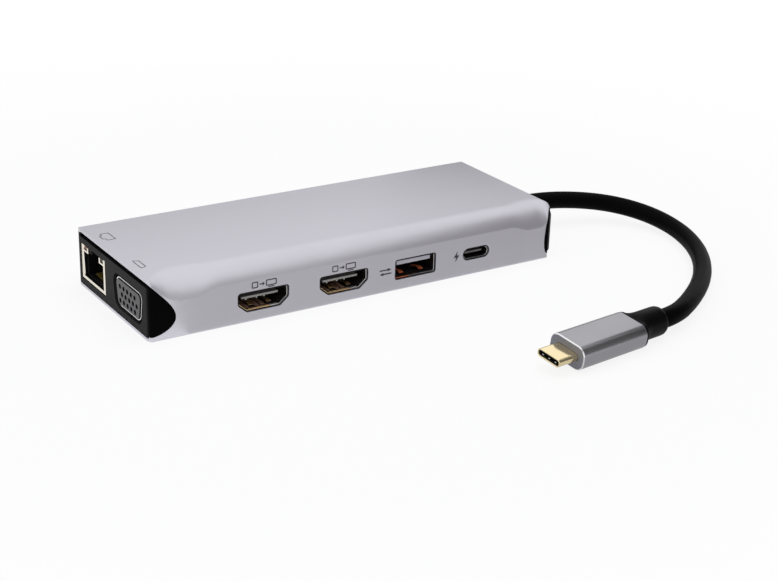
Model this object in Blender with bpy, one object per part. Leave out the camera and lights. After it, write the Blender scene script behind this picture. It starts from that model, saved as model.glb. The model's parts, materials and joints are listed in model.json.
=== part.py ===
"""Laptop docking station with a captive cable, modelled piece by piece.

Metres, +Z up. The origin is under the middle of the housing, on the surface it rests on.
X runs along the housing, the cable leaves the +X end, and the port face looks along -Y.
"""

import math

import bmesh
import bpy
import numpy as np
from mathutils import Matrix, Vector

MM = 0.001

# Housing: an aluminium tube with a rounded shoulder above its flat port face
HUB_LENGTH = 133.4 * MM
HUB_DEPTH = 48.6 * MM
HUB_HEIGHT = 17.5 * MM
WALL = 1.2 * MM
CREASE_HEIGHT = 12.15 * MM
SHOULDER_REACH = 6.0 * MM
SHOULDER_TURN = math.radians(75)
SHOULDER_STEPS = 8
REAR_ROUND = 1.4 * MM
REAR_STEPS = 4
LEFT_CORNER_RADIUS = 2.0 * MM
RIGHT_CORNER_RADIUS = 0.5 * MM
CORNER_STEPS = 5

# Lobes: near each end the shoulder bulges and its lower edge dips, then climbs: evenly to the
# top at the left end, and as a quarter ellipse at the right end
LOBE_CREASE = 10.5 * MM
LOBE_BULGE = 0.3 * MM
LOBE_LENGTH = 3.5 * MM
LOBE_RUN_OUT = 7.0 * MM
LOBE_CLIMB_POWER = 1.35
LEFT_RUN_IN = 2.5 * MM
LEFT_LIP = 0.25 * MM
RIGHT_RUN_IN = 2.5 * MM
RIGHT_LIP = 2.0 * MM

# End caps, with cheeks that show as a rounded nose in the long walls
LEFT_NOSE_DEPTH = 7.9 * MM
RIGHT_NOSE_DEPTH = 1.5 * MM
NOSE_TIP_HEIGHT = 6.1 * MM
CAP_DEPTH = 10.0 * MM
CAP_PLATE = 1.8 * MM
CAP_SKIRT = 1.2 * MM

# Clearances
FIT_GAP = 0.2 * MM
SEAT_GAP = 0.3 * MM
CUT_OVERRUN = 2.0 * MM

# Main board
BOARD_THICKNESS = 1.2 * MM
BOARD_SIDE_GAP = 0.5 * MM

# Front sockets: places as shares of the housing's half length, and heights of their middles
SOCKET_RECESS = 0.4 * MM
PORT_GAP = 0.35 * MM
SOCKET_FOOT = 2.0 * MM
SOCKET_LEAST_ROUND = 0.15 * MM
VIDEO_1_ALONG = -0.4828
VIDEO_2_ALONG = -0.0945
VIDEO_Z = 5.85 * MM
VIDEO_WIDTH = 15.4 * MM
VIDEO_HEIGHT = 5.3 * MM
VIDEO_SIDE = 3.1 * MM
VIDEO_FOOT_WIDTH = 10.2 * MM
VIDEO_ROUND = 0.6 * MM
VIDEO_LENGTH = 11.0 * MM
VIDEO_SHEET = 0.4 * MM
DATA_ALONG = 0.2699
DATA_Z = 6.2 * MM
DATA_WIDTH = 13.6 * MM
DATA_HEIGHT = 5.6 * MM
DATA_ROUND = 0.5 * MM
DATA_LENGTH = 13.0 * MM
DATA_SHEET = 0.35 * MM
POWER_ALONG = 0.5937
POWER_Z = 6.5 * MM
POWER_WIDTH = 8.94 * MM
POWER_HEIGHT = 3.16 * MM
POWER_LENGTH = 8.0 * MM
POWER_SHEET = 0.3 * MM

# Contact tongues: room beside and above them in the sleeve, thickness, set-back from the mouth
TONGUE_ROOT = 3.0 * MM
VIDEO_TONGUE_SIDE = 1.55 * MM
VIDEO_TONGUE_DROP = 1.5 * MM
VIDEO_TONGUE_THICKNESS = 0.6 * MM
VIDEO_TONGUE_SETBACK = 1.9 * MM
DATA_TONGUE_SIDE = 0.65 * MM
DATA_TONGUE_DROP = 0.3 * MM
DATA_TONGUE_THICKNESS = 1.15 * MM
DATA_TONGUE_SETBACK = 0.9 * MM
POWER_TONGUE_SIDE = 1.1 * MM
POWER_TONGUE_DROP = 1.0 * MM
POWER_TONGUE_THICKNESS = 0.5 * MM
POWER_TONGUE_SETBACK = 1.2 * MM

# Network socket in the left cap: its distance from the rear, and its middle's height above the board
NETWORK_REAR_MARGIN = 2.6 * MM
NETWORK_RISE = 5.1 * MM
NETWORK_WIDTH = 17.0 * MM
NETWORK_HEIGHT = 10.3 * MM
NETWORK_LENGTH = 18.0 * MM
NETWORK_SIDE = 1.45 * MM
NETWORK_SILL = 0.9 * MM
NETWORK_LINTEL = 0.35 * MM
NETWORK_COLLAR = 0.8 * MM
NETWORK_FLOOR = 0.3 * MM
NETWORK_BACK = 1.5 * MM
NETWORK_CAVITY_WIDTH = 11.9 * MM
NETWORK_CAVITY_HEIGHT = 6.7 * MM
NETWORK_CAVITY_DEPTH = 12.5 * MM
NETWORK_LATCH_WIDTH = 6.4 * MM
LED_WIDTH = 2.0 * MM
LED_HEIGHT = 0.75 * MM
LED_WALL = 0.85 * MM
LED_SILL = 0.5 * MM
CONTACT_COUNT = 8
CONTACT_PITCH = 1.02 * MM
CONTACT_WIDTH = 0.5 * MM
CONTACT_THICKNESS = 0.3 * MM
CONTACT_LENGTH = 8.0 * MM
CONTACT_ROOT = 1.0 * MM
CONTACT_SETBACK = 1.2 * MM
CONTACT_TILT = math.radians(6)

# Monitor socket in the left cap: its distance from the front, and its middle's height above the board
MONITOR_FRONT_MARGIN = 4.65 * MM
MONITOR_RISE = 4.8 * MM
MONITOR_WIDTH = 17.5 * MM
MONITOR_HEIGHT = 8.5 * MM
MONITOR_SLANT = math.radians(10)
MONITOR_ROUND = 2.2 * MM
MONITOR_SHEET = 0.35 * MM
MONITOR_SETBACK = 0.55 * MM
MONITOR_LENGTH = 5.5 * MM
MONITOR_MOAT_SIDE = 1.4 * MM
MONITOR_MOAT_RISE = 0.75 * MM
MONITOR_FACE_STEP = 0.3 * MM
MONITOR_FLANGE_SIDE = 0.6 * MM
MONITOR_FLANGE_RISE = 0.5 * MM
MONITOR_FLANGE_THICKNESS = 0.5 * MM
MONITOR_BLOCK_LENGTH = 10.0 * MM
MONITOR_HOLE_DIAMETER = 1.25 * MM
MONITOR_HOLE_DEPTH = 4.0 * MM
MONITOR_HOLE_PITCH = 2.42 * MM
MONITOR_ROW_PITCH = 2.08 * MM
MONITOR_HOLE_DROP = 0.3 * MM
MONITOR_ROWS = 3
MONITOR_COLUMNS = 5

# Cable and its gland in the right cap
CABLE_DIAMETER = 5.5 * MM
CABLE_STEP = 2.2 * CABLE_DIAMETER
CABLE_LEAD = 3.0 * MM
CABLE_ROUNDNESS = 4
GLAND_NECK = 7.4 * MM
GLAND_COLLAR = 8.4 * MM
GLAND_TIP = 6.4 * MM
GLAND_FLANGE = 10.0 * MM
GLAND_FLANGE_THICKNESS = 1.5 * MM
GLAND_REACH = 5.0 * MM
WIRE_DIAMETER = 3.6 * MM
WIRE_RUN = 16.0 * MM
WIRE_LEAD = 1.0 * MM
WIRE_ROUNDNESS = 2

# Plug: its place is the middle of the front face that the metal tip comes out of
PLUG_PLACE = (21.7 * MM, -90.4 * MM, 4.45 * MM)
PLUG_HEADING = math.radians(7)
PLUG_ROLL = math.radians(7)
PLUG_WIDTH = 12.6 * MM
PLUG_HEIGHT = 7.0 * MM
PLUG_LENGTH = 24.2 * MM
PLUG_ROUND = 2.8 * MM
PLUG_RIM = 0.35 * MM
PLUG_WALL = 1.0 * MM
PLUG_FRONT = 1.5 * MM
TIP_WIDTH = 8.25 * MM
TIP_HEIGHT = 2.4 * MM
TIP_REACH = 6.65 * MM
TIP_ROOT = 6.0 * MM
TIP_SHEET = 0.3 * MM
MOUTH_WIDTH = 6.5 * MM
MOUTH_HEIGHT = 0.8 * MM
MOUTH_DEPTH = 5.0 * MM
CARD_WIDTH = 9.5 * MM
CARD_LENGTH = 11.0 * MM
CARD_THICKNESS = 0.8 * MM
RELIEF_LENGTH = 12.0 * MM
RELIEF_COLLAR = 8.4 * MM
RELIEF_INSET = 0.3 * MM

# Middle of the cable's free route, chosen by eye; its ends come from the gland and the plug
CABLE_ROUTE = [
    (82.3 * MM, -0.4 * MM, 8.6 * MM),
    (94.7 * MM, -2.8 * MM, 7.6 * MM),
    (105.5 * MM, -8.0 * MM, 6.1 * MM),
    (112.5 * MM, -17.4 * MM, 4.5 * MM),
    (113.9 * MM, -29.1 * MM, 3.3 * MM),
    (110.5 * MM, -40.9 * MM, 2.85 * MM),
    (104.2 * MM, -51.9 * MM, 2.8 * MM),
    (96.2 * MM, -61.6 * MM, 2.85 * MM),
    (87.4 * MM, -69.7 * MM, 3.1 * MM),
    (77.7 * MM, -77.0 * MM, 3.7 * MM),
    (66.9 * MM, -83.6 * MM, 4.3 * MM),
]

# Parts soldered to the main board: name, middle as shares of the board's half length and half
# width, then length, depth and height
BOARD_PARTS = [
    ("hub_chip", -0.14, 0.35, 9.0 * MM, 9.0 * MM, 0.9 * MM),
    ("video_chip", 0.18, 0.27, 8.0 * MM, 8.0 * MM, 0.9 * MM),
    ("ethernet_chip", -0.50, 0.27, 6.0 * MM, 6.0 * MM, 0.9 * MM),
    ("power_chip", 0.71, 0.27, 5.0 * MM, 5.0 * MM, 0.9 * MM),
    ("ethernet_transformer", -0.68, 0.62, 7.0 * MM, 12.7 * MM, 5.6 * MM),
    ("crystal", -0.34, 0.40, 3.2 * MM, 2.5 * MM, 0.8 * MM),
]
INDUCTOR_SIZE = 5.0 * MM
INDUCTOR_HEIGHT = 3.0 * MM
INDUCTOR_ALONG = (0.39, 0.52, 0.65)
INDUCTOR_ACROSS = 0.71
CAPACITOR_DIAMETER = 4.0 * MM
CAPACITOR_HEIGHT = 5.4 * MM
CAPACITOR_ALONG = (-0.04, 0.07, 0.18, 0.29)
CAPACITOR_ACROSS = 0.80

# Places that follow from the sizes above
HALF_LENGTH = HUB_LENGTH / 2
HALF_DEPTH = HUB_DEPTH / 2
FLOOR = WALL
CEILING = HUB_HEIGHT - WALL
TUNNEL_HALF = HALF_DEPTH - WALL
BOARD_BOTTOM = FLOOR + SEAT_GAP
BOARD_TOP = BOARD_BOTTOM + BOARD_THICKNESS
PART_BOTTOM = BOARD_TOP + SEAT_GAP
BOARD_HALF_LENGTH = HALF_LENGTH - CAP_DEPTH - BOARD_SIDE_GAP
BOARD_HALF_WIDTH = TUNNEL_HALF - BOARD_SIDE_GAP
NETWORK_Y = HALF_DEPTH - NETWORK_REAR_MARGIN - NETWORK_WIDTH / 2
NETWORK_Z = PART_BOTTOM + NETWORK_RISE
MONITOR_Y = MONITOR_FRONT_MARGIN + MONITOR_WIDTH / 2 - HALF_DEPTH
MONITOR_Z = PART_BOTTOM + MONITOR_RISE
MONITOR_FLANGE_WIDTH = MONITOR_WIDTH + 2 * MONITOR_FLANGE_SIDE
MONITOR_FLANGE_HEIGHT = MONITOR_HEIGHT + 2 * MONITOR_FLANGE_RISE
CABLE_Z = HUB_HEIGHT / 2

# Clearing the scene


for old in list(bpy.data.objects):
    bpy.data.objects.remove(old, do_unlink=True)


# Finishes


def finish(name, colour, roughness, metallic=0.0):
    """A plain surface with one colour."""
    material = bpy.data.materials.new(name)
    material.use_nodes = True
    shader = material.node_tree.nodes["Principled BSDF"]
    shader.inputs["Base Color"].default_value = (*colour, 1.0)
    shader.inputs["Roughness"].default_value = roughness
    shader.inputs["Metallic"].default_value = metallic
    return material


ALUMINIUM = finish("aluminium_anodised", (0.62, 0.62, 0.65), 0.38, 1.0)
CAP_BLACK = finish("cap_plastic", (0.03, 0.03, 0.032), 0.5)
TIN = finish("socket_tin", (0.72, 0.71, 0.68), 0.3, 1.0)
SOCKET_BLACK = finish("socket_plastic", (0.02, 0.02, 0.02), 0.45)
SOCKET_GREY = finish("monitor_socket_plastic", (0.2, 0.2, 0.21), 0.5)
GOLD = finish("contact_gold", (0.85, 0.6, 0.24), 0.25, 1.0)
LED_AMBER = finish("led_amber", (0.5, 0.12, 0.03), 0.3)
LED_GREEN = finish("led_green", (0.08, 0.16, 0.06), 0.3)
CABLE_BLACK = finish("cable_sheath", (0.015, 0.015, 0.016), 0.4)
BOARD_GREEN = finish("board_laminate", (0.02, 0.12, 0.06), 0.5)
CHIP_BLACK = finish("chip_resin", (0.03, 0.03, 0.03), 0.55)
FERRITE = finish("ferrite", (0.12, 0.12, 0.12), 0.6)
CAN = finish("capacitor_can", (0.7, 0.7, 0.7), 0.3, 1.0)


# Outlines: counter-clockwise lists of two coordinates


def rectangle(width, height, centre=(0.0, 0.0)):
    """Four corners of a rectangle."""
    u, v = centre
    return [
        (u - width / 2, v - height / 2),
        (u + width / 2, v - height / 2),
        (u + width / 2, v + height / 2),
        (u - width / 2, v + height / 2),
    ]


def grown(corners, amount):
    """Convex corners moved out by the same distance on every side."""
    moved = []
    for i, corner in enumerate(corners):
        before = Vector(corner) - Vector(corners[i - 1])
        after = Vector(corners[(i + 1) % len(corners)]) - Vector(corner)
        normal = Vector((before.y, -before.x)).normalized()
        next_normal = Vector((after.y, -after.x)).normalized()
        middle = (normal + next_normal).normalized()
        moved.append(tuple(Vector(corner) + middle * amount / middle.dot(normal)))
    return moved


def rounded(corners, radius, steps=3):
    """Convex corners, each turned into an arc."""
    points = []
    for i, corner in enumerate(corners):
        corner = Vector(corner)
        to_before = (Vector(corners[i - 1]) - corner).normalized()
        to_after = (Vector(corners[(i + 1) % len(corners)]) - corner).normalized()
        half_angle = to_before.angle(to_after) / 2
        centre = corner + (to_before + to_after).normalized() * radius / math.sin(half_angle)
        start = corner + to_before * radius / math.tan(half_angle) - centre
        turn = math.pi - 2 * half_angle
        for step in range(steps + 1):
            points.append(tuple(centre + Matrix.Rotation(turn * step / steps, 2) @ start))
    return points


def ring(diameter, sides, centre=(0.0, 0.0)):
    """Points round a circle."""
    turns = [2 * math.pi * i / sides for i in range(sides)]
    radius = diameter / 2
    return [(centre[0] + radius * math.cos(t), centre[1] + radius * math.sin(t)) for t in turns]


def bezier(start, first, second, end, steps):
    """Points on a cubic curve, without its start."""
    points = []
    for step in range(1, steps + 1):
        t = step / steps
        weights = ((1 - t) ** 3, 3 * t * (1 - t) ** 2, 3 * t * t * (1 - t), t ** 3)
        knots = (start, first, second, end)
        points.append(tuple(sum(w * k[i] for w, k in zip(weights, knots)) for i in range(2)))
    return points


# Solids


def along(axis, distance, u, v):
    """A point from a distance along an axis and the two other coordinates, in X, Y, Z order."""
    return {"X": (distance, u, v), "Y": (u, distance, v), "Z": (u, v, distance)}[axis]


def skin(rings, closed=False):
    """A mesh through rings of equally many points; capped at its ends, or joined end to end."""
    bm = bmesh.new()
    loops = [[bm.verts.new(point) for point in points] for points in rings]
    pairs = list(zip(loops, loops[1:]))
    if closed:
        pairs.append((loops[-1], loops[0]))
    else:
        bm.faces.new(loops[0])
        bm.faces.new(loops[-1])
    for low, high in pairs:
        for i in range(len(low)):
            bm.faces.new((low[i - 1], low[i], high[i], high[i - 1]))
    bmesh.ops.recalc_face_normals(bm, faces=bm.faces)
    return bm


def prism(outline, axis, low, high):
    """An outline pulled along an axis into a solid."""
    return skin([[along(axis, end, u, v) for u, v in outline] for end in (low, high)])


def sleeve(outer, inner, axis, low, high):
    """A tube, open at both ends, between two outlines with equally many points."""
    places = ((low, outer), (high, outer), (high, inner), (low, inner))
    return skin([[along(axis, end, u, v) for u, v in line] for end, line in places], closed=True)


def add(name, bm, material=None, parent=None, smooth=False):
    """An object with this mesh."""
    mesh = bpy.data.meshes.new(name)
    bm.to_mesh(mesh)
    bm.free()
    if material:
        mesh.materials.append(material)
    if smooth:
        mesh.shade_smooth()
        mesh.set_sharp_from_angle(angle=math.radians(30))
    thing = bpy.data.objects.new(name, mesh)
    bpy.context.collection.objects.link(thing)
    thing.parent = parent
    return thing


def shape(target, operation, bm, label):
    """Cuts, joins or trims an object with a second solid, which stays as a hidden guide."""
    guide = add(f"{label}_guide", bm, parent=target.parent)
    guide.hide_render = True
    guide.display_type = "WIRE"
    modifier = target.modifiers.new(label, "BOOLEAN")
    modifier.operation = operation
    modifier.solver = "EXACT"
    modifier.object = guide


def several(meshes):
    """Separate solids gathered in one mesh, to cut with together."""
    bm = bmesh.new()
    for piece in meshes:
        mesh = bpy.data.meshes.new("gathered")
        piece.to_mesh(mesh)
        piece.free()
        bm.from_mesh(mesh)
        bpy.data.meshes.remove(mesh)
    return bm


# Housing


def even_climb(share):
    """How far the left lobe's lower edge has climbed, where it has run this share of its way."""
    return share ** LOBE_CLIMB_POWER


def round_climb(share):
    """The same for the right lobe, whose lower edge turns up more and more steeply."""
    return 1 - math.sqrt(1 - share * share)


LEFT_END = (LEFT_NOSE_DEPTH + LEFT_RUN_IN, LEFT_LIP, even_climb)
RIGHT_END = (RIGHT_NOSE_DEPTH + RIGHT_RUN_IN, RIGHT_LIP, round_climb)


def crease_height(inset, foot, lip, climb):
    """Height of the shoulder's lower edge at a distance in from one end."""
    if inset < foot:
        return LOBE_CREASE + (HUB_HEIGHT - lip - LOBE_CREASE) * climb(1 - inset / foot)
    t = min(max((inset - foot - LOBE_LENGTH) / LOBE_RUN_OUT, 0.0), 1.0)
    return LOBE_CREASE + (CREASE_HEIGHT - LOBE_CREASE) * t * t * (3 - 2 * t)


def tube_outline(half_depth, floor, crease, ceiling, reach, rear_round):
    """Cross-section in Y and Z: flat floor, upright walls, front shoulder, flat top, rear edge."""
    points = [(-half_depth, floor)]
    for step in range(SHOULDER_STEPS + 1):
        t = SHOULDER_TURN * (1 - step / SHOULDER_STEPS)
        y = reach * (1 - math.sin(t) / math.sin(SHOULDER_TURN))
        z = (ceiling - crease) * (1 - math.cos(t)) / (1 - math.cos(SHOULDER_TURN))
        points.append((-half_depth + y, ceiling - z))
    for step in range(REAR_STEPS + 1):
        t = math.pi / 2 * step / REAR_STEPS
        y = half_depth - rear_round * (1 - math.sin(t))
        points.append((y, ceiling - rear_round * (1 - math.cos(t))))
    return points + [(half_depth, floor)]


def tunnel_outline(gap=0.0):
    """The tube's hollow, or what fits in it with a gap all round."""
    crease = CREASE_HEIGHT - WALL * math.tan(SHOULDER_TURN / 2) - gap
    reach = SHOULDER_REACH - WALL * math.tan(SHOULDER_TURN / 2)
    rear = max(REAR_ROUND - WALL, FIT_GAP)
    return tube_outline(TUNNEL_HALF - gap, FLOOR + gap, crease, CEILING - gap, reach, rear)


def station_insets(foot):
    """Distances in from one end at which the lobe's shape is drawn."""
    climb = [foot * (1 - math.cos(math.pi / 2 * i / 8)) for i in range(9)]
    settle = [foot + LOBE_LENGTH + LOBE_RUN_OUT * i / 6 for i in range(7)]
    return climb + settle


def outer_ring(x, inset, foot, lip, climb):
    """The housing's outside at one place along its length."""
    crease = crease_height(inset, foot, lip, climb)
    share = (HUB_HEIGHT - crease) / (HUB_HEIGHT - CREASE_HEIGHT)
    dip = (CREASE_HEIGHT - crease) / (CREASE_HEIGHT - LOBE_CREASE)
    bulge = LOBE_BULGE * min(max(dip, 0.0), 1.0)
    outline = tube_outline(HALF_DEPTH, 0.0, crease, HUB_HEIGHT, SHOULDER_REACH * share, REAR_ROUND)
    return [(x, y - bulge if y < 0 < z else y, z) for y, z in outline]


def nose_outline(nose_depth, side, gap=0.0, overrun=0.0):
    """The cap's cheek seen from the front, in X and Z, at the end on this side of the middle."""
    foot = FLOOR + FIT_GAP - gap
    top = CEILING - FIT_GAP + gap
    reach = nose_depth - FIT_GAP + gap
    tip = (reach, NOSE_TIP_HEIGHT)
    rise = top - NOSE_TIP_HEIGHT
    drop = NOSE_TIP_HEIGHT - foot
    points = [(-overrun, top), (0.0, top)]
    points += bezier((0.0, top), (reach * 0.59, top - rise * 0.46), (reach, tip[1] + rise * 0.27), tip, 7)
    points += bezier(tip, (reach, tip[1] - drop * 0.54), (reach * 0.54, foot), (0.0, foot), 6)
    points += [(-overrun, foot)]
    if not overrun:
        points = points[1:-1]
    return [(side * (HALF_LENGTH - inset), z) for inset, z in points]


def rounded_plan():
    """The upright prism that rounds the housing's and the caps' corners."""
    plan = rectangle(HUB_LENGTH, HUB_DEPTH + 2 * LOBE_BULGE)
    left = rounded(plan, LEFT_CORNER_RADIUS, CORNER_STEPS)
    right = rounded(plan, RIGHT_CORNER_RADIUS, CORNER_STEPS)
    outline = [b if b[0] > 0 else a for a, b in zip(left, right)]
    return prism(outline, "Z", -CUT_OVERRUN, HUB_HEIGHT + CUT_OVERRUN)


def video_corners():
    """A video socket's outline: straight upper sides, slanted lower ones."""
    half = VIDEO_WIDTH / 2
    foot = VIDEO_FOOT_WIDTH / 2
    top = VIDEO_HEIGHT / 2
    bend = top - VIDEO_SIDE
    return [(-foot, -top), (foot, -top), (half, bend), (half, top), (-half, top), (-half, bend)]


def placed(outline, x, z):
    """An outline moved to its place."""
    return [(u + x, v + z) for u, v in outline]


VIDEO_TONGUE = (VIDEO_TONGUE_SIDE, VIDEO_TONGUE_DROP, VIDEO_TONGUE_THICKNESS, VIDEO_TONGUE_SETBACK)
VIDEO_FORM = (video_corners(), VIDEO_ROUND, VIDEO_SHEET, VIDEO_LENGTH, VIDEO_TONGUE)
DATA_TONGUE = (DATA_TONGUE_SIDE, DATA_TONGUE_DROP, DATA_TONGUE_THICKNESS, DATA_TONGUE_SETBACK)
DATA_FORM = (rectangle(DATA_WIDTH, DATA_HEIGHT), DATA_ROUND, DATA_SHEET, DATA_LENGTH, DATA_TONGUE)
POWER_ROUND = POWER_HEIGHT / 2 * 0.98
POWER_TONGUE = (POWER_TONGUE_SIDE, POWER_TONGUE_DROP, POWER_TONGUE_THICKNESS, POWER_TONGUE_SETBACK)
POWER_FORM = (rectangle(POWER_WIDTH, POWER_HEIGHT), POWER_ROUND, POWER_SHEET, POWER_LENGTH, POWER_TONGUE)
SOCKETS = {
    "video_socket_1": (VIDEO_1_ALONG * HALF_LENGTH, VIDEO_Z, *VIDEO_FORM),
    "video_socket_2": (VIDEO_2_ALONG * HALF_LENGTH, VIDEO_Z, *VIDEO_FORM),
    "data_socket": (DATA_ALONG * HALF_LENGTH, DATA_Z, *DATA_FORM),
    "power_socket": (POWER_ALONG * HALF_LENGTH, POWER_Z, *POWER_FORM),
}


def make_shell():
    """The tube, with its ports and the notches that the caps' cheeks fill."""
    left = [(inset - HALF_LENGTH, inset, *LEFT_END) for inset in station_insets(LEFT_END[0])]
    right = [(HALF_LENGTH - inset, inset, *RIGHT_END) for inset in station_insets(RIGHT_END[0])]
    rings = [outer_ring(*station) for station in left + right[::-1]]
    hollow = tunnel_outline()
    rings += [[(x, y, z) for y, z in hollow] for x in (HALF_LENGTH, -HALF_LENGTH)]
    shell = add("shell", skin(rings, closed=True), ALUMINIUM, smooth=True)
    ports = []
    for x, z, corners, radius, _, _, _ in SOCKETS.values():
        outline = placed(rounded(grown(corners, PORT_GAP), radius + PORT_GAP), x, z)
        ports.append(prism(outline, "Y", -HALF_DEPTH - CUT_OVERRUN, -TUNNEL_HALF + CUT_OVERRUN))
    shape(shell, "DIFFERENCE", several(ports), "ports")
    noses = []
    for depth, side in ((LEFT_NOSE_DEPTH, -1), (RIGHT_NOSE_DEPTH, 1)):
        outline = nose_outline(depth, side, FIT_GAP, CUT_OVERRUN)
        noses.append(prism(outline, "Y", -HALF_DEPTH - CUT_OVERRUN, HALF_DEPTH + CUT_OVERRUN))
    shape(shell, "DIFFERENCE", several(noses), "notches")
    shape(shell, "INTERSECT", rounded_plan(), "shell_corners")


# End caps


def end_span(side, first, last):
    """Two places along X, given as distances in from the end on this side, low one first."""
    return sorted((side * (HALF_LENGTH - first), side * (HALF_LENGTH - last)))


def make_cap(name, side, nose_depth, openings, clearings=()):
    """A cup that plugs the tube's end, with a cheek flush in each long wall.

    Openings go through the plate, and clearings make room behind it, in the skirt.
    """
    cheeks = prism(nose_outline(nose_depth, side), "Y", -HALF_DEPTH, HALF_DEPTH)
    cap = add(name, cheeks, CAP_BLACK, smooth=True)
    plug = prism(tunnel_outline(FIT_GAP), "X", *end_span(side, FIT_GAP, CAP_DEPTH))
    shape(cap, "UNION", plug, f"{name}_plug")
    margin = FIT_GAP + CAP_SKIRT
    middle = (0.0, (CEILING + FLOOR) / 2)
    hollow = rectangle(2 * (TUNNEL_HALF - margin), CEILING - FLOOR - 2 * margin, middle)
    behind = end_span(side, CAP_PLATE, CAP_DEPTH + CUT_OVERRUN)
    shape(cap, "DIFFERENCE", prism(hollow, "X", *behind), f"{name}_pocket")
    for number, line in enumerate(clearings, 1):
        shape(cap, "DIFFERENCE", prism(line, "X", *behind), f"{name}_clearing_{number}")
    span = end_span(side, -CUT_OVERRUN, CAP_PLATE + CUT_OVERRUN / 2)
    shape(cap, "DIFFERENCE", several([prism(line, "X", *span) for line in openings]), f"{name}_openings")
    shape(cap, "INTERSECT", rounded_plan(), f"{name}_corners")


def monitor_corners(grow=0.0, side=0.0, rise=0.0):
    """The monitor socket's outline in Y and Z: wide at the top, sides slanted in.

    It can grow evenly all round, or by other amounts sideways and up and down.
    """
    slant = MONITOR_HEIGHT * math.tan(MONITOR_SLANT)
    top = MONITOR_HEIGHT / 2 + rise
    wide = MONITOR_WIDTH / 2 + side
    narrow = wide - slant
    corners = [(-narrow, -top), (narrow, -top), (wide, top), (-wide, top)]
    return placed(rounded(grown(corners, grow), MONITOR_ROUND + grow + rise, 4), MONITOR_Y, MONITOR_Z)


def make_caps():
    """Both end caps."""
    network = grown(rectangle(NETWORK_WIDTH, NETWORK_HEIGHT, (NETWORK_Y, NETWORK_Z)), FIT_GAP)
    flange = rectangle(MONITOR_FLANGE_WIDTH, MONITOR_FLANGE_HEIGHT, (MONITOR_Y, MONITOR_Z))
    openings = [network, monitor_corners(side=MONITOR_MOAT_SIDE, rise=MONITOR_MOAT_RISE)]
    make_cap("left_cap", -1, LEFT_NOSE_DEPTH, openings, [network, grown(flange, FIT_GAP)])
    make_cap("right_cap", 1, RIGHT_NOSE_DEPTH, [ring(GLAND_NECK + 2 * FIT_GAP, 24, (0.0, CABLE_Z))])


# Main board and what is soldered to it


def on_board(along_share, across_share):
    """A place on the board, from shares of its half length and half width."""
    return (along_share * BOARD_HALF_LENGTH, across_share * BOARD_HALF_WIDTH)


def make_board():
    """The board lies on the tube's floor."""
    plan = rectangle(2 * BOARD_HALF_LENGTH, 2 * BOARD_HALF_WIDTH)
    add("main_board", prism(plan, "Z", BOARD_BOTTOM, BOARD_TOP), BOARD_GREEN)
    for name, along_share, across_share, length, depth, height in BOARD_PARTS:
        plan = rectangle(length, depth, on_board(along_share, across_share))
        add(name, prism(plan, "Z", PART_BOTTOM, PART_BOTTOM + height), CHIP_BLACK)
    for number, share in enumerate(INDUCTOR_ALONG, 1):
        square = rectangle(INDUCTOR_SIZE, INDUCTOR_SIZE, on_board(share, INDUCTOR_ACROSS))
        plan = rounded(square, INDUCTOR_SIZE * 0.15, 2)
        block = prism(plan, "Z", PART_BOTTOM, PART_BOTTOM + INDUCTOR_HEIGHT)
        add(f"power_inductor_{number}", block, FERRITE)
    for number, share in enumerate(CAPACITOR_ALONG, 1):
        can = ring(CAPACITOR_DIAMETER, 20, on_board(share, CAPACITOR_ACROSS))
        block = prism(can, "Z", PART_BOTTOM, PART_BOTTOM + CAPACITOR_HEIGHT)
        add(f"capacitor_{number}", block, CAN, smooth=True)


# Front sockets


def make_socket(name, x, z, corners, radius, sheet, length, tongue):
    """A plated sleeve behind the port face, and the insulator that carries its contacts."""
    mouth = -HALF_DEPTH + SOCKET_RECESS
    back = mouth + length
    outer = placed(rounded(corners, radius), x, z)
    inner_round = max(radius - sheet, SOCKET_LEAST_ROUND)
    inner = placed(rounded(grown(corners, -sheet), inner_round), x, z)
    add(f"{name}_shell", sleeve(outer, inner, "Y", mouth, back), TIN, smooth=True)
    core_round = max(radius - sheet - FIT_GAP, SOCKET_LEAST_ROUND)
    core = placed(rounded(grown(corners, -sheet - FIT_GAP), core_round), x, z)
    stem = prism(core, "Y", back - TONGUE_ROOT, back + SOCKET_FOOT / 2)
    insulator = add(f"{name}_insulator", stem, SOCKET_BLACK)
    side, drop, thickness, setback = tongue
    half_width = max(u for u, _ in corners)
    top = max(v for _, v in corners) - sheet - drop
    plate = rectangle(2 * (half_width - sheet - side), thickness, (x, z + top - thickness / 2))
    blade = prism(plate, "Y", mouth + setback, back - TONGUE_ROOT / 2)
    shape(insulator, "UNION", blade, f"{name}_tongue")
    foot = rectangle(2 * half_width, z - PART_BOTTOM, (x, (z + PART_BOTTOM) / 2))
    block = prism(foot, "Y", back + FIT_GAP, back + SOCKET_FOOT)
    shape(insulator, "UNION", block, f"{name}_foot")


# Network socket


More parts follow.
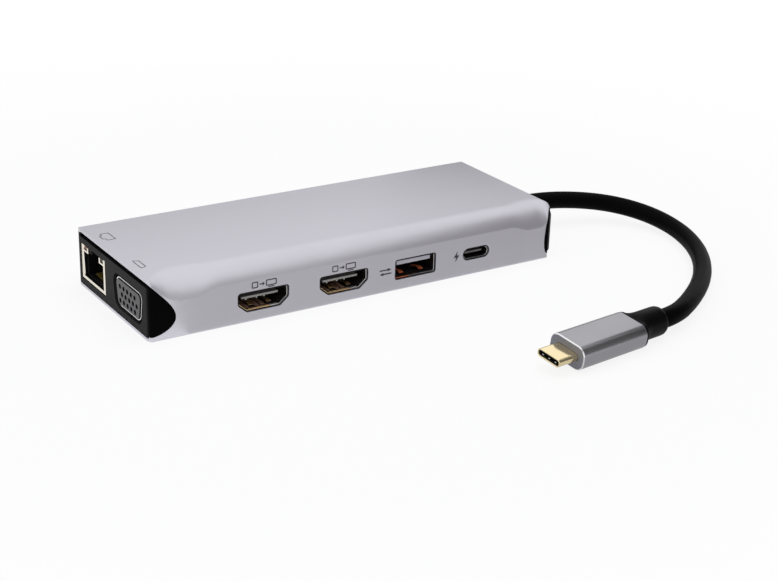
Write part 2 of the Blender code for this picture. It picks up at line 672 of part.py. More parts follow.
def make_network_socket():
    """Plated collar, black insert, sprung contacts and two indicator windows."""
    front = -HALF_LENGTH + FIT_GAP
    back = front + NETWORK_LENGTH
    outer = rectangle(NETWORK_WIDTH, NETWORK_HEIGHT, (NETWORK_Y, NETWORK_Z))
    inner_height = NETWORK_HEIGHT - NETWORK_SILL - NETWORK_LINTEL
    inner_z = NETWORK_Z + (NETWORK_SILL - NETWORK_LINTEL) / 2
    inner = rectangle(NETWORK_WIDTH - 2 * NETWORK_SIDE, inner_height, (NETWORK_Y, inner_z))
    shield = add("network_shield", sleeve(outer, inner, "X", front, back), TIN)
    window_top = inner[2][1]
    window_side = NETWORK_WIDTH / 2 - NETWORK_SIDE
    overlap = NETWORK_LINTEL / 2
    width = LED_WIDTH + 2 * FIT_GAP
    height = LED_HEIGHT + 2 * FIT_GAP
    brackets = []
    for side, colour, label in ((1, LED_AMBER, "left"), (-1, LED_GREEN, "right")):
        frame = [
            (window_side + overlap, window_top - height),
            (window_side - width, window_top - height),
            (window_side - width, window_top + overlap),
            (window_side - width - LED_WALL, window_top + overlap),
            (window_side - width - LED_WALL, window_top - height - LED_SILL),
            (window_side + overlap, window_top - height - LED_SILL),
        ]
        line = [(NETWORK_Y + side * u, v) for u, v in frame]
        brackets.append(prism(line, "X", front + FIT_GAP / 2, front + NETWORK_COLLAR))
        middle = (NETWORK_Y + side * (window_side - width / 2), window_top - height / 2)
        lens = rectangle(LED_WIDTH, LED_HEIGHT, middle)
        add(f"network_led_{label}", prism(lens, "X", front + 2 * FIT_GAP, front + NETWORK_COLLAR), colour)
    shape(shield, "UNION", several(brackets), "led_frames")
    make_network_insert(front + NETWORK_COLLAR + FIT_GAP, grown(inner, -FIT_GAP))


def make_network_insert(start, body):
    """The insert with the plug's cavity, and the comb of contacts that a plug presses down."""
    block = prism(body, "X", start, start + NETWORK_CAVITY_DEPTH + NETWORK_BACK)
    insert = add("network_insert", block, SOCKET_BLACK)
    floor = body[0][1] + NETWORK_FLOOR
    middle = (NETWORK_Y, floor + NETWORK_CAVITY_HEIGHT / 2)
    cavity = rectangle(NETWORK_CAVITY_WIDTH, NETWORK_CAVITY_HEIGHT, middle)
    top = body[2][1] + CUT_OVERRUN
    latch_height = top - floor - NETWORK_CAVITY_HEIGHT / 2
    latch = rectangle(NETWORK_LATCH_WIDTH, latch_height, (NETWORK_Y, top - latch_height / 2))
    span = (start - CUT_OVERRUN, start + NETWORK_CAVITY_DEPTH)
    shape(insert, "DIFFERENCE", prism(cavity, "X", *span), "plug_cavity")
    shape(insert, "DIFFERENCE", prism(latch, "X", *span), "latch_slot")
    comb = [(0.0, -CONTACT_PITCH * CONTACT_COUNT / 2), (0.0, CONTACT_PITCH * CONTACT_COUNT / 2)]
    for i in reversed(range(CONTACT_COUNT)):
        middle = (i - (CONTACT_COUNT - 1) / 2) * CONTACT_PITCH
        high = middle + CONTACT_WIDTH / 2
        low = middle - CONTACT_WIDTH / 2
        comb += [(CONTACT_ROOT, high), (CONTACT_LENGTH, high), (CONTACT_LENGTH, low), (CONTACT_ROOT, low)]
    contacts = add("network_contacts", prism(comb, "Z", 0.0, CONTACT_THICKNESS), GOLD)
    contacts.location = (start + CONTACT_SETBACK, NETWORK_Y, floor + SEAT_GAP)
    contacts.rotation_euler = (0.0, -CONTACT_TILT, 0.0)


# Monitor socket


def make_monitor_socket():
    """The D-shaped shell with its flange behind the cap, and the block with the pin holes."""
    front = -HALF_LENGTH + FIT_GAP + MONITOR_SETBACK
    end = front + MONITOR_LENGTH
    shell = add("monitor_socket_shell", prism(monitor_corners(), "X", front, end), TIN, smooth=True)
    width = MONITOR_FLANGE_WIDTH
    thickness = MONITOR_FLANGE_THICKNESS
    seat = -HALF_LENGTH + CAP_PLATE + SEAT_GAP
    flange = rounded(rectangle(width, MONITOR_FLANGE_HEIGHT, (MONITOR_Y, MONITOR_Z)), thickness)
    shape(shell, "UNION", prism(flange, "X", seat, seat + thickness), "monitor_flange")
    bore = prism(monitor_corners(-MONITOR_SHEET), "X", front - CUT_OVERRUN, end + CUT_OVERRUN)
    shape(shell, "DIFFERENCE", bore, "monitor_bore")
    face = front - MONITOR_FACE_STEP
    back = end + FIT_GAP
    core = monitor_corners(-MONITOR_SHEET - FIT_GAP)
    block = add("monitor_socket_insulator", prism(core, "X", face, back + FIT_GAP), SOCKET_GREY)
    top = MONITOR_Z + MONITOR_FLANGE_HEIGHT / 2
    body = rectangle(width, top - PART_BOTTOM, (MONITOR_Y, (top + PART_BOTTOM) / 2))
    shape(block, "UNION", prism(body, "X", back, back + MONITOR_BLOCK_LENGTH), "monitor_body")
    holes = []
    for row in range(MONITOR_ROWS):
        shift = (row % 2 - 0.5) * MONITOR_HOLE_PITCH / 2
        for column in range(MONITOR_COLUMNS):
            y = MONITOR_Y + (column - (MONITOR_COLUMNS - 1) / 2) * MONITOR_HOLE_PITCH - shift
            z = MONITOR_Z - MONITOR_HOLE_DROP + (row - (MONITOR_ROWS - 1) / 2) * MONITOR_ROW_PITCH
            pin = ring(MONITOR_HOLE_DIAMETER, 8, (y, z))
            holes.append(prism(pin, "X", face - CUT_OVERRUN, face + MONITOR_HOLE_DEPTH))
    shape(block, "DIFFERENCE", several(holes), "monitor_holes")


# Cable, gland and plug


def turned(profile, middle, sides=24):
    """A solid turned about a line along X; the profile gives distance along and diameter."""
    rings = [[(x, *point) for point in ring(diameter, sides, middle)] for x, diameter in profile]
    return skin(rings)


def smooth_curve(points, start_direction, end_direction, step):
    """Points a step apart on a smooth curve through the given ones, leaving and ending as told."""
    knots = np.array(points)
    times = np.concatenate(([0.0], np.cumsum(np.linalg.norm(np.diff(knots, axis=0), axis=1))))
    gaps = np.diff(times)[:, None]
    count = len(knots)
    system = np.eye(count)
    target = np.array([start_direction] + [(0.0, 0.0, 0.0)] * (count - 2) + [end_direction])
    for i in range(1, count - 1):
        before, after = gaps[i - 1, 0], gaps[i, 0]
        system[i, i - 1:i + 2] = (after, 2 * (before + after), before)
        rise_before = (knots[i] - knots[i - 1]) / before
        rise_after = (knots[i + 1] - knots[i]) / after
        target[i] = 3 * (after * rise_before + before * rise_after)
    slopes = np.linalg.solve(system, target)
    amount = max(round(times[-1] / step), 2)
    result = []
    for time in np.linspace(0.0, times[-1], amount + 1):
        i = min(int(np.searchsorted(times, time, side="right")) - 1, count - 2)
        span = gaps[i, 0]
        t = (time - times[i]) / span
        place = knots[i] * (1 + 2 * t) * (1 - t) ** 2 + knots[i + 1] * t * t * (3 - 2 * t)
        lean = slopes[i] * span * t * (1 - t) ** 2 - slopes[i + 1] * span * t * t * (1 - t)
        result.append(tuple(place + lean))
    return result


def led_curve(start, away, middle, end, arriving, lead, step):
    """A smooth route with a short straight lead at each end."""
    first = Vector(start) + Vector(away) * lead
    last = Vector(end) - Vector(arriving) * lead
    free = [tuple(first)] + middle + [tuple(last)]
    return [tuple(start)] + smooth_curve(free, away, arriving, step) + [tuple(end)]


def make_tube(name, points, diameter, material, sides_level):
    """A round tube with closed ends along a list of points."""
    curve = bpy.data.curves.new(name, "CURVE")
    curve.dimensions = "3D"
    curve.bevel_depth = diameter / 2
    curve.bevel_resolution = sides_level
    curve.use_fill_caps = True
    spline = curve.splines.new("POLY")
    spline.points.add(len(points) - 1)
    for knot, place in zip(spline.points, points):
        knot.co = (*place, 1.0)
    curve.materials.append(material)
    bpy.context.collection.objects.link(bpy.data.objects.new(name, curve))


def make_gland():
    """A flanged collar held in the right cap's hole, and the wires behind it."""
    inner = HALF_LENGTH - CAP_PLATE - FIT_GAP
    outer = HALF_LENGTH + FIT_GAP
    profile = [
        (inner - GLAND_FLANGE_THICKNESS, GLAND_FLANGE),
        (inner, GLAND_FLANGE),
        (inner, GLAND_NECK),
        (outer, GLAND_NECK),
        (outer, GLAND_COLLAR),
        (outer + GLAND_REACH * 0.3, GLAND_COLLAR),
        (outer + GLAND_REACH, GLAND_TIP),
    ]
    add("cable_gland", turned(profile, (0.0, CABLE_Z)), CABLE_BLACK, smooth=True)
    start = (inner - GLAND_FLANGE_THICKNESS - SEAT_GAP, 0.0, CABLE_Z)
    landing = (start[0] - WIRE_RUN, 0.0, PART_BOTTOM + WIRE_DIAMETER / 2)
    inward = (-1.0, 0.0, 0.0)
    wires = led_curve(start, inward, [], landing, inward, WIRE_LEAD, WIRE_DIAMETER / 2)
    make_tube("wire_bundle", wires, WIRE_DIAMETER, CABLE_BLACK, WIRE_ROUNDNESS)
    return outer + GLAND_REACH


def make_plug():
    """The plug's pieces, in its own frame: its axis runs back along +X from the front face."""
    frame = bpy.data.objects.new("plug_frame", None)
    frame.location = PLUG_PLACE
    frame.rotation_euler = (PLUG_ROLL, 0.0, PLUG_HEADING)
    bpy.context.collection.objects.link(frame)
    body = rectangle(PLUG_WIDTH, PLUG_HEIGHT)
    rings = []
    for x, inset in ((0.0, PLUG_RIM), (PLUG_RIM, 0.0), (PLUG_LENGTH, 0.0)):
        rings.append([(x, u, v) for u, v in rounded(grown(body, -inset), PLUG_ROUND - inset, 5)])
    housing = add("plug_housing", skin(rings), ALUMINIUM, frame, smooth=True)
    cavity = rounded(grown(body, -PLUG_WALL), PLUG_ROUND - PLUG_WALL, 5)
    hollow = prism(cavity, "X", PLUG_FRONT, PLUG_LENGTH + CUT_OVERRUN)
    shape(housing, "DIFFERENCE", hollow, "housing_hollow")
    tip = rectangle(TIP_WIDTH, TIP_HEIGHT)
    tip_round = TIP_HEIGHT / 2 * 0.96
    hole = rounded(grown(tip, FIT_GAP), tip_round + FIT_GAP, 4)
    shape(housing, "DIFFERENCE", prism(hole, "X", -CUT_OVERRUN, PLUG_FRONT + CUT_OVERRUN), "tip_hole")
    outer = rounded(tip, tip_round, 4)
    inner = rounded(grown(tip, -TIP_SHEET), tip_round - TIP_SHEET, 4)
    add("plug_shell", sleeve(outer, inner, "X", -TIP_REACH, TIP_ROOT), GOLD, frame, smooth=True)
    core_gap = TIP_SHEET + FIT_GAP / 2
    core = rounded(grown(tip, -core_gap), tip_round - core_gap, 4)
    lining = add("plug_insulator", prism(core, "X", FIT_GAP - TIP_REACH, TIP_ROOT), SOCKET_BLACK, frame)
    slot = rectangle(MOUTH_WIDTH, MOUTH_HEIGHT)
    mouth = prism(slot, "X", -TIP_REACH - CUT_OVERRUN, MOUTH_DEPTH - TIP_REACH)
    shape(lining, "DIFFERENCE", mouth, "mouth")
    card = rectangle(CARD_WIDTH, CARD_THICKNESS)
    card_start = TIP_ROOT + SEAT_GAP
    add("plug_card", prism(card, "X", card_start, card_start + CARD_LENGTH), BOARD_GREEN, frame)
    return frame


def make_strain_relief(frame):
    """A moulded sleeve that runs from the plug's outline to a round collar; returns its end."""
    start = PLUG_LENGTH + SEAT_GAP
    body = grown(rectangle(PLUG_WIDTH, PLUG_HEIGHT), -RELIEF_INSET)
    seat = rounded(body, PLUG_ROUND - RELIEF_INSET, 5)
    collar = rounded(rectangle(RELIEF_COLLAR, RELIEF_COLLAR), RELIEF_COLLAR * 0.499, 5)
    tip_scale = (CABLE_DIAMETER + RELIEF_COLLAR) / 2 / RELIEF_COLLAR
    stages = ((0.0, 0.0, 1.0), (0.06, 0.12, 1.0), (0.15, 0.5, 1.0), (0.28, 0.82, 1.0), (0.42, 1.0, 1.0),
              (0.88, 1.0, 1.0), (0.96, 1.0, 0.93), (1.0, 1.0, tip_scale))
    rings = []
    for share, blend, scale in stages:
        x = start + share * RELIEF_LENGTH
        mixed = [Vector(a).lerp(Vector(b), blend) * scale for a, b in zip(seat, collar)]
        rings.append([(x, u, v) for u, v in mixed])
    add("plug_strain_relief", skin(rings), CABLE_BLACK, frame, smooth=True)
    return start + RELIEF_LENGTH


def make_cable(gland_tip):
    """The free cable, from the gland to the plug."""
    frame = make_plug()
    relief_end = make_strain_relief(frame)
    heading = Vector((math.cos(PLUG_HEADING), math.sin(PLUG_HEADING), 0.0))
    end = Vector(PLUG_PLACE) + heading * (relief_end + SEAT_GAP)
    start = (gland_tip + SEAT_GAP, 0.0, CABLE_Z)
    away = (1.0, 0.0, 0.0)
    route = led_curve(start, away, CABLE_ROUTE, end, tuple(-heading), CABLE_LEAD, CABLE_STEP)
    make_tube("cable", route, CABLE_DIAMETER, CABLE_BLACK, CABLE_ROUNDNESS)


make_shell()
make_caps()
make_board()
for socket_name, settings in SOCKETS.items():
    make_socket(socket_name, *settings)
make_network_socket()
make_monitor_socket()
make_cable(make_gland())
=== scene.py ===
# %% [markdown]
# # Dressing a laptop docking station
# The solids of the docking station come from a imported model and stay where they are. This lesson
# builds finer pieces over the ones that show, gives every surface a finish made from nodes, and
# sets up a small studio. One blank scene is easier to reason about than a half-filled one, so the
# start-up objects go first.

# %% Start from an empty scene and load the frame
import json
import math

import bmesh
import bpy
from mathutils import Matrix, Vector

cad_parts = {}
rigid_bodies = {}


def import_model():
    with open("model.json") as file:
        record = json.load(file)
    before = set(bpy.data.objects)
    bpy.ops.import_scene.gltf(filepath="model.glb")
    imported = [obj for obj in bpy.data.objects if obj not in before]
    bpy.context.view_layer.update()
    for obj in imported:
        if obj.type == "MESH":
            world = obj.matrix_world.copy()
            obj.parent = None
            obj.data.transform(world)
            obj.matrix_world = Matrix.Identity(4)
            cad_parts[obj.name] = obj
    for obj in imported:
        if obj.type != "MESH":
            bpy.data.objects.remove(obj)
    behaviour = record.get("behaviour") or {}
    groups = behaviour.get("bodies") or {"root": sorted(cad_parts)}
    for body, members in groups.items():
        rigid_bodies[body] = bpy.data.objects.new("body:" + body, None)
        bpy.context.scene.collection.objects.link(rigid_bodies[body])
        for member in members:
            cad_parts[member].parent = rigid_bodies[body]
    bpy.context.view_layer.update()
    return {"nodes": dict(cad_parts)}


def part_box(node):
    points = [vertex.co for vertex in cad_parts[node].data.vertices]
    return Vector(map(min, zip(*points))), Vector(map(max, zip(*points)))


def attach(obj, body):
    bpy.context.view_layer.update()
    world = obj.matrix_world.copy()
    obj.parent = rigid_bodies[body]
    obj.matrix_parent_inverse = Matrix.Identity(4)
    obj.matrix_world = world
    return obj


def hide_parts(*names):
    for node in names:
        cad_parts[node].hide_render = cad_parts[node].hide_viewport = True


for leftover in list(bpy.data.objects):
    bpy.data.objects.remove(leftover)
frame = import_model()
MM = 0.001

# %% [markdown]
# ## The camera
# A product photograph like this one is taken with a short telephoto lens from the left and above.
# The lens, the place and the small roll were worked out from the straight edges of the housing, so
# they're written down as numbers. The camera could be aimed with a constraint, but a matrix built
# from three directions holds the roll as well.

# %% Camera at the photograph's place
PHOTO_WIDTH = 777
FOCAL_PIXELS = 1592.1
AXIS_PIXEL_SHIFT = (9.75, -5.74)
SENSOR_WIDTH, CLIP_START = 36, 0.01
CAMERA_PLACE = Vector((-224.86, -382.15, 175.59)) * MM
YAW, TILT, ROLL = math.radians(32.76), math.radians(22.1), math.radians(1.64)


def placed(name, data):
    """A new object in the scene."""
    made = bpy.data.objects.new(name, data)
    bpy.context.collection.objects.link(made)
    return made


flat = math.cos(TILT)
backward = Vector((-math.sin(YAW) * flat, -math.cos(YAW) * flat, math.sin(TILT)))
level = (-backward).cross(Vector((0, 0, 1))).normalized()
upward = level.cross(-backward)
side = level * math.cos(ROLL) + upward * math.sin(ROLL)
top = upward * math.cos(ROLL) - level * math.sin(ROLL)
camera = placed("photo_camera", bpy.data.cameras.new("photo_camera"))
turned = Matrix((side, top, backward)).transposed().to_4x4()
camera.matrix_world = Matrix.Translation(CAMERA_PLACE) @ turned
camera.data.sensor_width = SENSOR_WIDTH
camera.data.lens = SENSOR_WIDTH * FOCAL_PIXELS / PHOTO_WIDTH
camera.data.shift_x, camera.data.shift_y = (shift / PHOTO_WIDTH for shift in AXIS_PIXEL_SHIFT)
camera.data.clip_start = CLIP_START
bpy.context.scene.camera = camera
print("camera:", round(camera.data.lens, 2), "mm lens")

# %% [markdown]
# ## A node group for surface detail
# Real surfaces are never one flat colour. Anodised metal is faintly cloudy, moulded plastic has a
# fine grain, and both get slightly smoother where they are touched. One group makes all of that
# from two noises: a broad one that clouds the colour and the gloss, and a fine one that gives the
# grain. Each finish places the group with its own colours and scales.

# %% Helpers for nodes


def feed(tree, target, inputs):
    """Fill a node's inputs: the output of another node is linked, and a value is set."""
    for key, source in inputs.items():
        if isinstance(source, bpy.types.NodeSocket):
            tree.links.new(source, target.inputs[key])
        else:
            target.inputs[key].default_value = source


def node(tree, kind, inputs=None, **settings):
    """A new node with its settings made and its inputs filled."""
    made = tree.nodes.new(kind)
    for name, value in settings.items():
        setattr(made, name, value)
    feed(tree, made, inputs or {})
    return made


def maths(tree, operation, *values):
    """The outcome of a sum on values and outputs."""
    made = node(tree, "ShaderNodeMath", dict(enumerate(values)), operation=operation)
    return made.outputs["Value"]


def eased(tree, value, start, stop, low=0.0, high=1.0):
    """A value that runs smoothly from low to high between two places."""
    inputs = {"Value": value, "From Min": start, "From Max": stop, "To Min": low, "To Max": high}
    made = node(tree, "ShaderNodeMapRange", inputs, interpolation_type="SMOOTHSTEP")
    return made.outputs["Result"]


print("helpers for nodes: feed, node, maths, eased")

# %% Build the surface-detail group
GROUP_SOCKETS = {
    "INPUT": {"Colour": "Color", "Clouded": "Color", "Cloud Scale": "Float", "Grain Scale": "Float",
              "Smooth": "Float", "Rough": "Float", "Stretch": "Vector"},
    "OUTPUT": {"Colour": "Color", "Roughness": "Float", "Height": "Float"},
}
GLOSS_FROM, GLOSS_TO, EVEN = 0.3, 0.7, 0.5
detail = bpy.data.node_groups.new("surface_detail", "ShaderNodeTree")
for direction, sockets in GROUP_SOCKETS.items():
    for label, kind in sockets.items():
        detail.interface.new_socket(label, in_out=direction, socket_type=f"NodeSocket{kind}")
given = detail.nodes.new("NodeGroupInput").outputs
result = detail.nodes.new("NodeGroupOutput")


def noise(place, scale, fineness, roughness):
    """The grey value of a noise texture."""
    inputs = {"Vector": place, "Scale": scale, "Detail": fineness, "Roughness": roughness}
    return node(detail, "ShaderNodeTexNoise", inputs).outputs["Fac"]


where = node(detail, "ShaderNodeTexCoord").outputs["Object"]
stretched = node(detail, "ShaderNodeVectorMath", {0: where, 1: given["Stretch"]},
                 operation="MULTIPLY")
cloud = noise(where, given["Cloud Scale"], 3.0, 0.55)
grain = noise(stretched.outputs["Vector"], given["Grain Scale"], 4.0, 0.6)
shade = node(detail, "ShaderNodeMix", {
    "Factor": cloud, "A": given["Colour"], "B": given["Clouded"]}, data_type="RGBA")
both = maths(detail, "MULTIPLY_ADD", grain, EVEN, maths(detail, "MULTIPLY", cloud, EVEN))
gloss = node(detail, "ShaderNodeMapRange", {
    "Value": both, "From Min": GLOSS_FROM, "From Max": GLOSS_TO,
    "To Min": given["Smooth"], "To Max": given["Rough"]})
feed(detail, result, {
    "Colour": shade.outputs["Result"], "Roughness": gloss.outputs["Result"], "Height": grain})
print("group:", detail.name, len(detail.nodes), "nodes")

# %% [markdown]
# ## Finishes
# A finish is a Principled shader fed by the group above. The helper takes the two colours, the two
# ends of the roughness, the size of the grain in millimetres and how deep that grain looks. Values
# that are the same all over, such as the metal share, are set straight on the shader.

# %% A helper that mixes a finish
GRAIN_DEPTH = 0.3


def finish(name, colour, clouded, smooth, rough, grain_mm=0.25, bump=0.05, metal=0.0, cloud_mm=14.0,
           stretch=(1, 1, 1), specular=0.5):
    """A material with clouded colour, varied gloss and a fine grain."""
    material = bpy.data.materials.new(name)
    material.use_nodes = True
    tree = material.node_tree
    surface = node(tree, "ShaderNodeGroup", {
        "Colour": (*colour, 1), "Clouded": (*clouded, 1), "Cloud Scale": 1 / (cloud_mm * MM),
        "Grain Scale": 1 / (grain_mm * MM), "Smooth": smooth, "Rough": rough, "Stretch": stretch,
    }, node_tree=detail).outputs
    relief = node(tree, "ShaderNodeBump", {
        "Strength": bump, "Distance": grain_mm * MM * GRAIN_DEPTH, "Height": surface["Height"]})
    feed(tree, tree.nodes["Principled BSDF"], {
        "Metallic": metal, "Specular IOR Level": specular, "Base Color": surface["Colour"],
        "Roughness": surface["Roughness"], "Normal": relief.outputs["Normal"]})
    return material


ALUMINIUM = finish("satin_aluminium", (0.685, 0.67, 0.726), (0.655, 0.641, 0.697), 0.46, 0.54,
                   0.12, 0.05, 1.0, 22)
CUT_EDGE = finish("bright_cut_edge", (0.9, 0.9, 0.91), (0.84, 0.84, 0.86), 0.2, 0.28,
                  0.1, 0.03, 1.0)
print("finishes so far:", ALUMINIUM.name, CUT_EDGE.name)

# %% [markdown]
# ## The cable
# A short lead like this is a bundle of wires in a soft black jacket. The photograph shows it from
# end to end: straight out of its collar, down onto the table in one lazy bend, and into the plug.
# A curve with a round bevel is the natural way to draw it, because its own line is the middle of
# the cable. The points repeat the route that the solid takes.

# %% Cable along its route
CABLE_DIAMETER = 5.5 * MM
CABLE_POINTS = [
    (72.20, 0.00, 8.75), (75.20, 0.00, 8.75), (80.86, -0.26, 8.66), (86.47, -0.95, 8.36),
    (92.00, -2.07, 7.89), (97.43, -3.70, 7.28), (102.57, -6.04, 6.57), (107.09, -9.38, 5.81),
    (110.67, -13.77, 5.03), (113.03, -18.92, 4.30), (114.01, -24.50, 3.68), (113.77, -30.18, 3.23),
    (112.49, -35.70, 2.97), (110.45, -41.01, 2.85), (107.89, -46.07, 2.80), (104.90, -50.88, 2.80),
    (101.55, -55.46, 2.81), (97.89, -59.78, 2.83), (93.96, -63.86, 2.89), (89.79, -67.68, 3.00),
    (85.42, -71.29, 3.20), (80.91, -74.71, 3.49), (76.30, -77.97, 3.79), (71.56, -81.03, 4.07),
    (66.57, -83.76, 4.31), (61.20, -85.55, 4.45), (58.23, -85.92, 4.45),
]
BLACKS = (0.003, 0.003, 0.0033), (0.002, 0.002, 0.0022)
CABLE_JACKET = finish("cable_jacket", *BLACKS, 0.34, 0.46, 0.3, 0.12, specular=0.02)

line = bpy.data.curves.new("cable_jacket", "CURVE")
line.dimensions = "3D"
line.bevel_depth = CABLE_DIAMETER / 2
line.bevel_resolution = 10
line.resolution_u = 8
line.use_fill_caps = True
spline = line.splines.new("BEZIER")
spline.bezier_points.add(len(CABLE_POINTS) - 1)
for knot, place in zip(spline.bezier_points, CABLE_POINTS):
    knot.co = Vector(place) * MM
    knot.handle_left_type = knot.handle_right_type = "AUTO"
line.materials.append(CABLE_JACKET)
cable = placed("cable_jacket", line)
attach(cable, "hub")
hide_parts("cable")
print("cable:", len(CABLE_POINTS), "points")

# %% [markdown]
# ## The studio
# The object lies on a plain white sweep under two soft boxes. The floor and the world show white to
# the camera and in reflections, and the floor keeps part of its own shading near the object, so the
# shadow stays. In an all-white room brushed metal looks flat, so a photographer stands cards round
# it: two behind darken the far side of the top, three in front and one on the floor shade the port
# face from left to right, and two dark ones before the plug draw the band along its edge. The cards
# show only in reflections.

# %% World and floor
WHITE, PAPER, SKY = (1, 1, 1, 1), (0.93, 0.93, 0.93, 1), (0.97, 0.98, 1.0, 1)
WHITE_NEAR, WHITE_FAR = 0.86, 1.0
FADE_START, FADE_END = 0.11, 0.3


def white_to_the_eye(tree):
    """A value that is 1 for rays that see the background, straight, reflected or let through."""
    rays = node(tree, "ShaderNodeLightPath").outputs
    seen = maths(tree, "MAXIMUM", rays["Is Camera Ray"], rays["Is Glossy Ray"])
    return maths(tree, "MAXIMUM", seen, rays["Is Transmission Ray"])


def mixed(tree, share, plain, white, output):
    """Two shaders mixed by a share and shown."""
    mix = node(tree, "ShaderNodeMixShader", {
        "Fac": share, 1: plain.outputs[0], 2: white.outputs[0]})
    feed(tree, tree.nodes[output], {"Surface": mix.outputs["Shader"]})


scene = bpy.context.scene
scene.view_settings.view_transform = "Standard"
scene.world = bpy.data.worlds.new("studio")
scene.world.use_nodes = True
sky = scene.world.node_tree
soft_light = sky.nodes["Background"]
feed(sky, soft_light, {"Color": SKY, "Strength": 0.5})
seen_white = node(sky, "ShaderNodeBackground", {"Color": WHITE, "Strength": 1.0})
mixed(sky, white_to_the_eye(sky), soft_light, seen_white, "World Output")

floor_finish = bpy.data.materials.new("white_sweep")
floor_finish.use_nodes = True
ground = floor_finish.node_tree
paper = ground.nodes["Principled BSDF"]
feed(ground, paper, {"Base Color": PAPER, "Roughness": 0.9, "Specular IOR Level": 0.0})
glow = node(ground, "ShaderNodeEmission", {"Color": WHITE})
spot = node(ground, "ShaderNodeTexCoord").outputs["Object"]
away = node(ground, "ShaderNodeVectorMath", {0: spot}, operation="LENGTH").outputs["Value"]
fade = eased(ground, away, FADE_START, FADE_END, WHITE_NEAR, WHITE_FAR)
share = maths(ground, "MULTIPLY", white_to_the_eye(ground), fade)
mixed(ground, share, paper, glow, "Material Output")
print("world and floor: white to the eye")

# %% Floor, cards and lamps
REFLECTION_CARDS = {
    "grey_card": ((0.5, 0.07), (0.05, 0.085, 0.03), (0.05, 0.0, 0.03), 0.58),
    "far_corner_card": ((0.08, 0.06), (0.105, 0.062, 0.035), (0.05, 0.01, 0.02), 0.35),
    "right_card": ((0.065, 0.085), (0.108, -0.078, 0.0425), (0.06, -0.02, 0.01), 0.07),
    "middle_card": ((0.6, 0.2), (0.25, -0.65, 0.09), (0.0, 0.0, 0.09), 0.92),
    "front_card": ((0.21, 0.095), (0.05, -0.0722, 0.00002), (0.05, -0.0722, 1.0), 0.59),
    "plug_edge_card": ((0.1, 0.085), (0.112, -0.128, 0.042), (0.035, -0.09, 0.01), 0.06),
    "left_lobe_card": ((0.06, 0.05), (-0.02, -0.117, 0.025), (-0.055, -0.024, 0.012), 0.16),
    "tip_card": ((0.04, 0.04), (0.047, -0.119, 0.026), (0.02, -0.093, 0.006), 0.16),
}


def as_mesh(bm, name="blank"):
    """What was drawn, as a mesh."""
    mesh = bpy.data.meshes.new(name)
    bm.to_mesh(mesh)
    bm.free()
    return mesh


def looking(made, place, aim, face):
    """Puts an object in a place, with one face towards a point."""
    made.location = place
    made.rotation_euler = (Vector(aim) - Vector(place)).to_track_quat(face, "Y").to_euler()


def card(name, size, place, aim, material):
    """A flat card that belongs to the studio and looks at a point."""
    bm = bmesh.new()
    bmesh.ops.create_grid(bm, x_segments=1, y_segments=1, size=0.5)
    bmesh.ops.scale(bm, vec=(*size, 1), verts=bm.verts)
    made = placed(name, as_mesh(bm, name))
    made.data.materials.append(material)
    looking(made, place, aim, "Z")
    return made


def reflection_card(name, size, place, aim, tone):
    """A card of one grey tone that shows only in reflections."""
    material = bpy.data.materials.new(name)
    material.use_nodes = True
    tree = material.node_tree
    tree.nodes.remove(tree.nodes["Principled BSDF"])
    lit = node(tree, "ShaderNodeEmission", {"Color": (tone, tone, tone, 1)})
    feed(tree, tree.nodes["Material Output"], {"Surface": lit.outputs["Emission"]})
    made = card(name, size, place, aim, material)
    made.visible_camera = made.visible_diffuse = False
    made.visible_shadow = made.visible_transmission = False


def soft_box(name, power, size, place, aim=(0.0, 0.0, 0.0)):
    """A rectangular lamp that looks at a point and leaves no spot in reflections."""
    lamp = bpy.data.lights.new(name, "AREA")
    lamp.energy = power
    lamp.shape = "RECTANGLE"
    lamp.size, lamp.size_y = size
    made = placed(name, lamp)
    looking(made, place, aim, "-Z")
    made.visible_glossy = False


card("floor", (8, 8), (0, 0, -0.00002), (0, 0, 1), floor_finish)
for name, row in REFLECTION_CARDS.items():
    reflection_card(name, *row)
soft_box("overhead_box", 5.0, (1.2, 1.0), (0.1, -0.1, 1.0))
soft_box("left_box", 1.2, (0.5, 0.5), (-0.8, 0.1, 0.5))
print("studio: floor, eight cards and two soft boxes")

# %% [markdown]
# ## Tools for modelling
# Nearly every piece here starts as a flat outline that is pulled out into a slab, with its upright
# edges rounded. A sleeve is such a slab with both ends inset and the two inner rings bridged. Holes
# are carved with the Boolean modifier, because no single mesh operator cuts one solid with another.

# %% Outlines
PLANES = {
    "X": lambda a, u, v: (a, u, v), "Y": lambda a, u, v: (u, a, v), "Z": lambda a, u, v: (u, v, a),
}
PAST, TOUCH, WELD, FLAT, PARALLEL = 2 * MM, 1e-6, 1e-7, math.radians(0.03), 0.999


def mm(*lengths):
    """Lengths given in millimetres, as metres."""
    return [length * MM for length in lengths]


def between(left, low, right, high):
    """Four corners of a rectangle, anticlockwise."""
    return [(left, low), (right, low), (right, high), (left, high)]


def oblong(width, height, u=0.0, v=0.0):
    """A rectangle round a middle."""
    return between(u - width / 2, v - height / 2, u + width / 2, v + height / 2)


def at(corners, u, v):
    """Corners moved to a middle."""
    return [(a + u, b + v) for a, b in corners]


def in_mm(points, u=0.0, v=0.0):
    """Points given in millimetres, moved to a middle."""
    return at([(a * MM, b * MM) for a, b in points], u, v)


def grown(corners, amount):
    """Corners, listed anticlockwise, moved out by the same distance on every side."""
    moved = []
    for i, corner in enumerate(corners):
        before = Vector(corner) - Vector(corners[i - 1])
        after = Vector(corners[(i + 1) % len(corners)]) - Vector(corner)
        normal = Vector((before.y, -before.x)).normalized()
        next_normal = Vector((after.y, -after.x)).normalized()
        middle = (normal + next_normal).normalized()
        moved.append(tuple(Vector(corner) + middle * amount / middle.dot(normal)))
    return moved


print("a rectangle of 2 by 1:", oblong(2, 1))

# %% Slabs, sleeves and rods


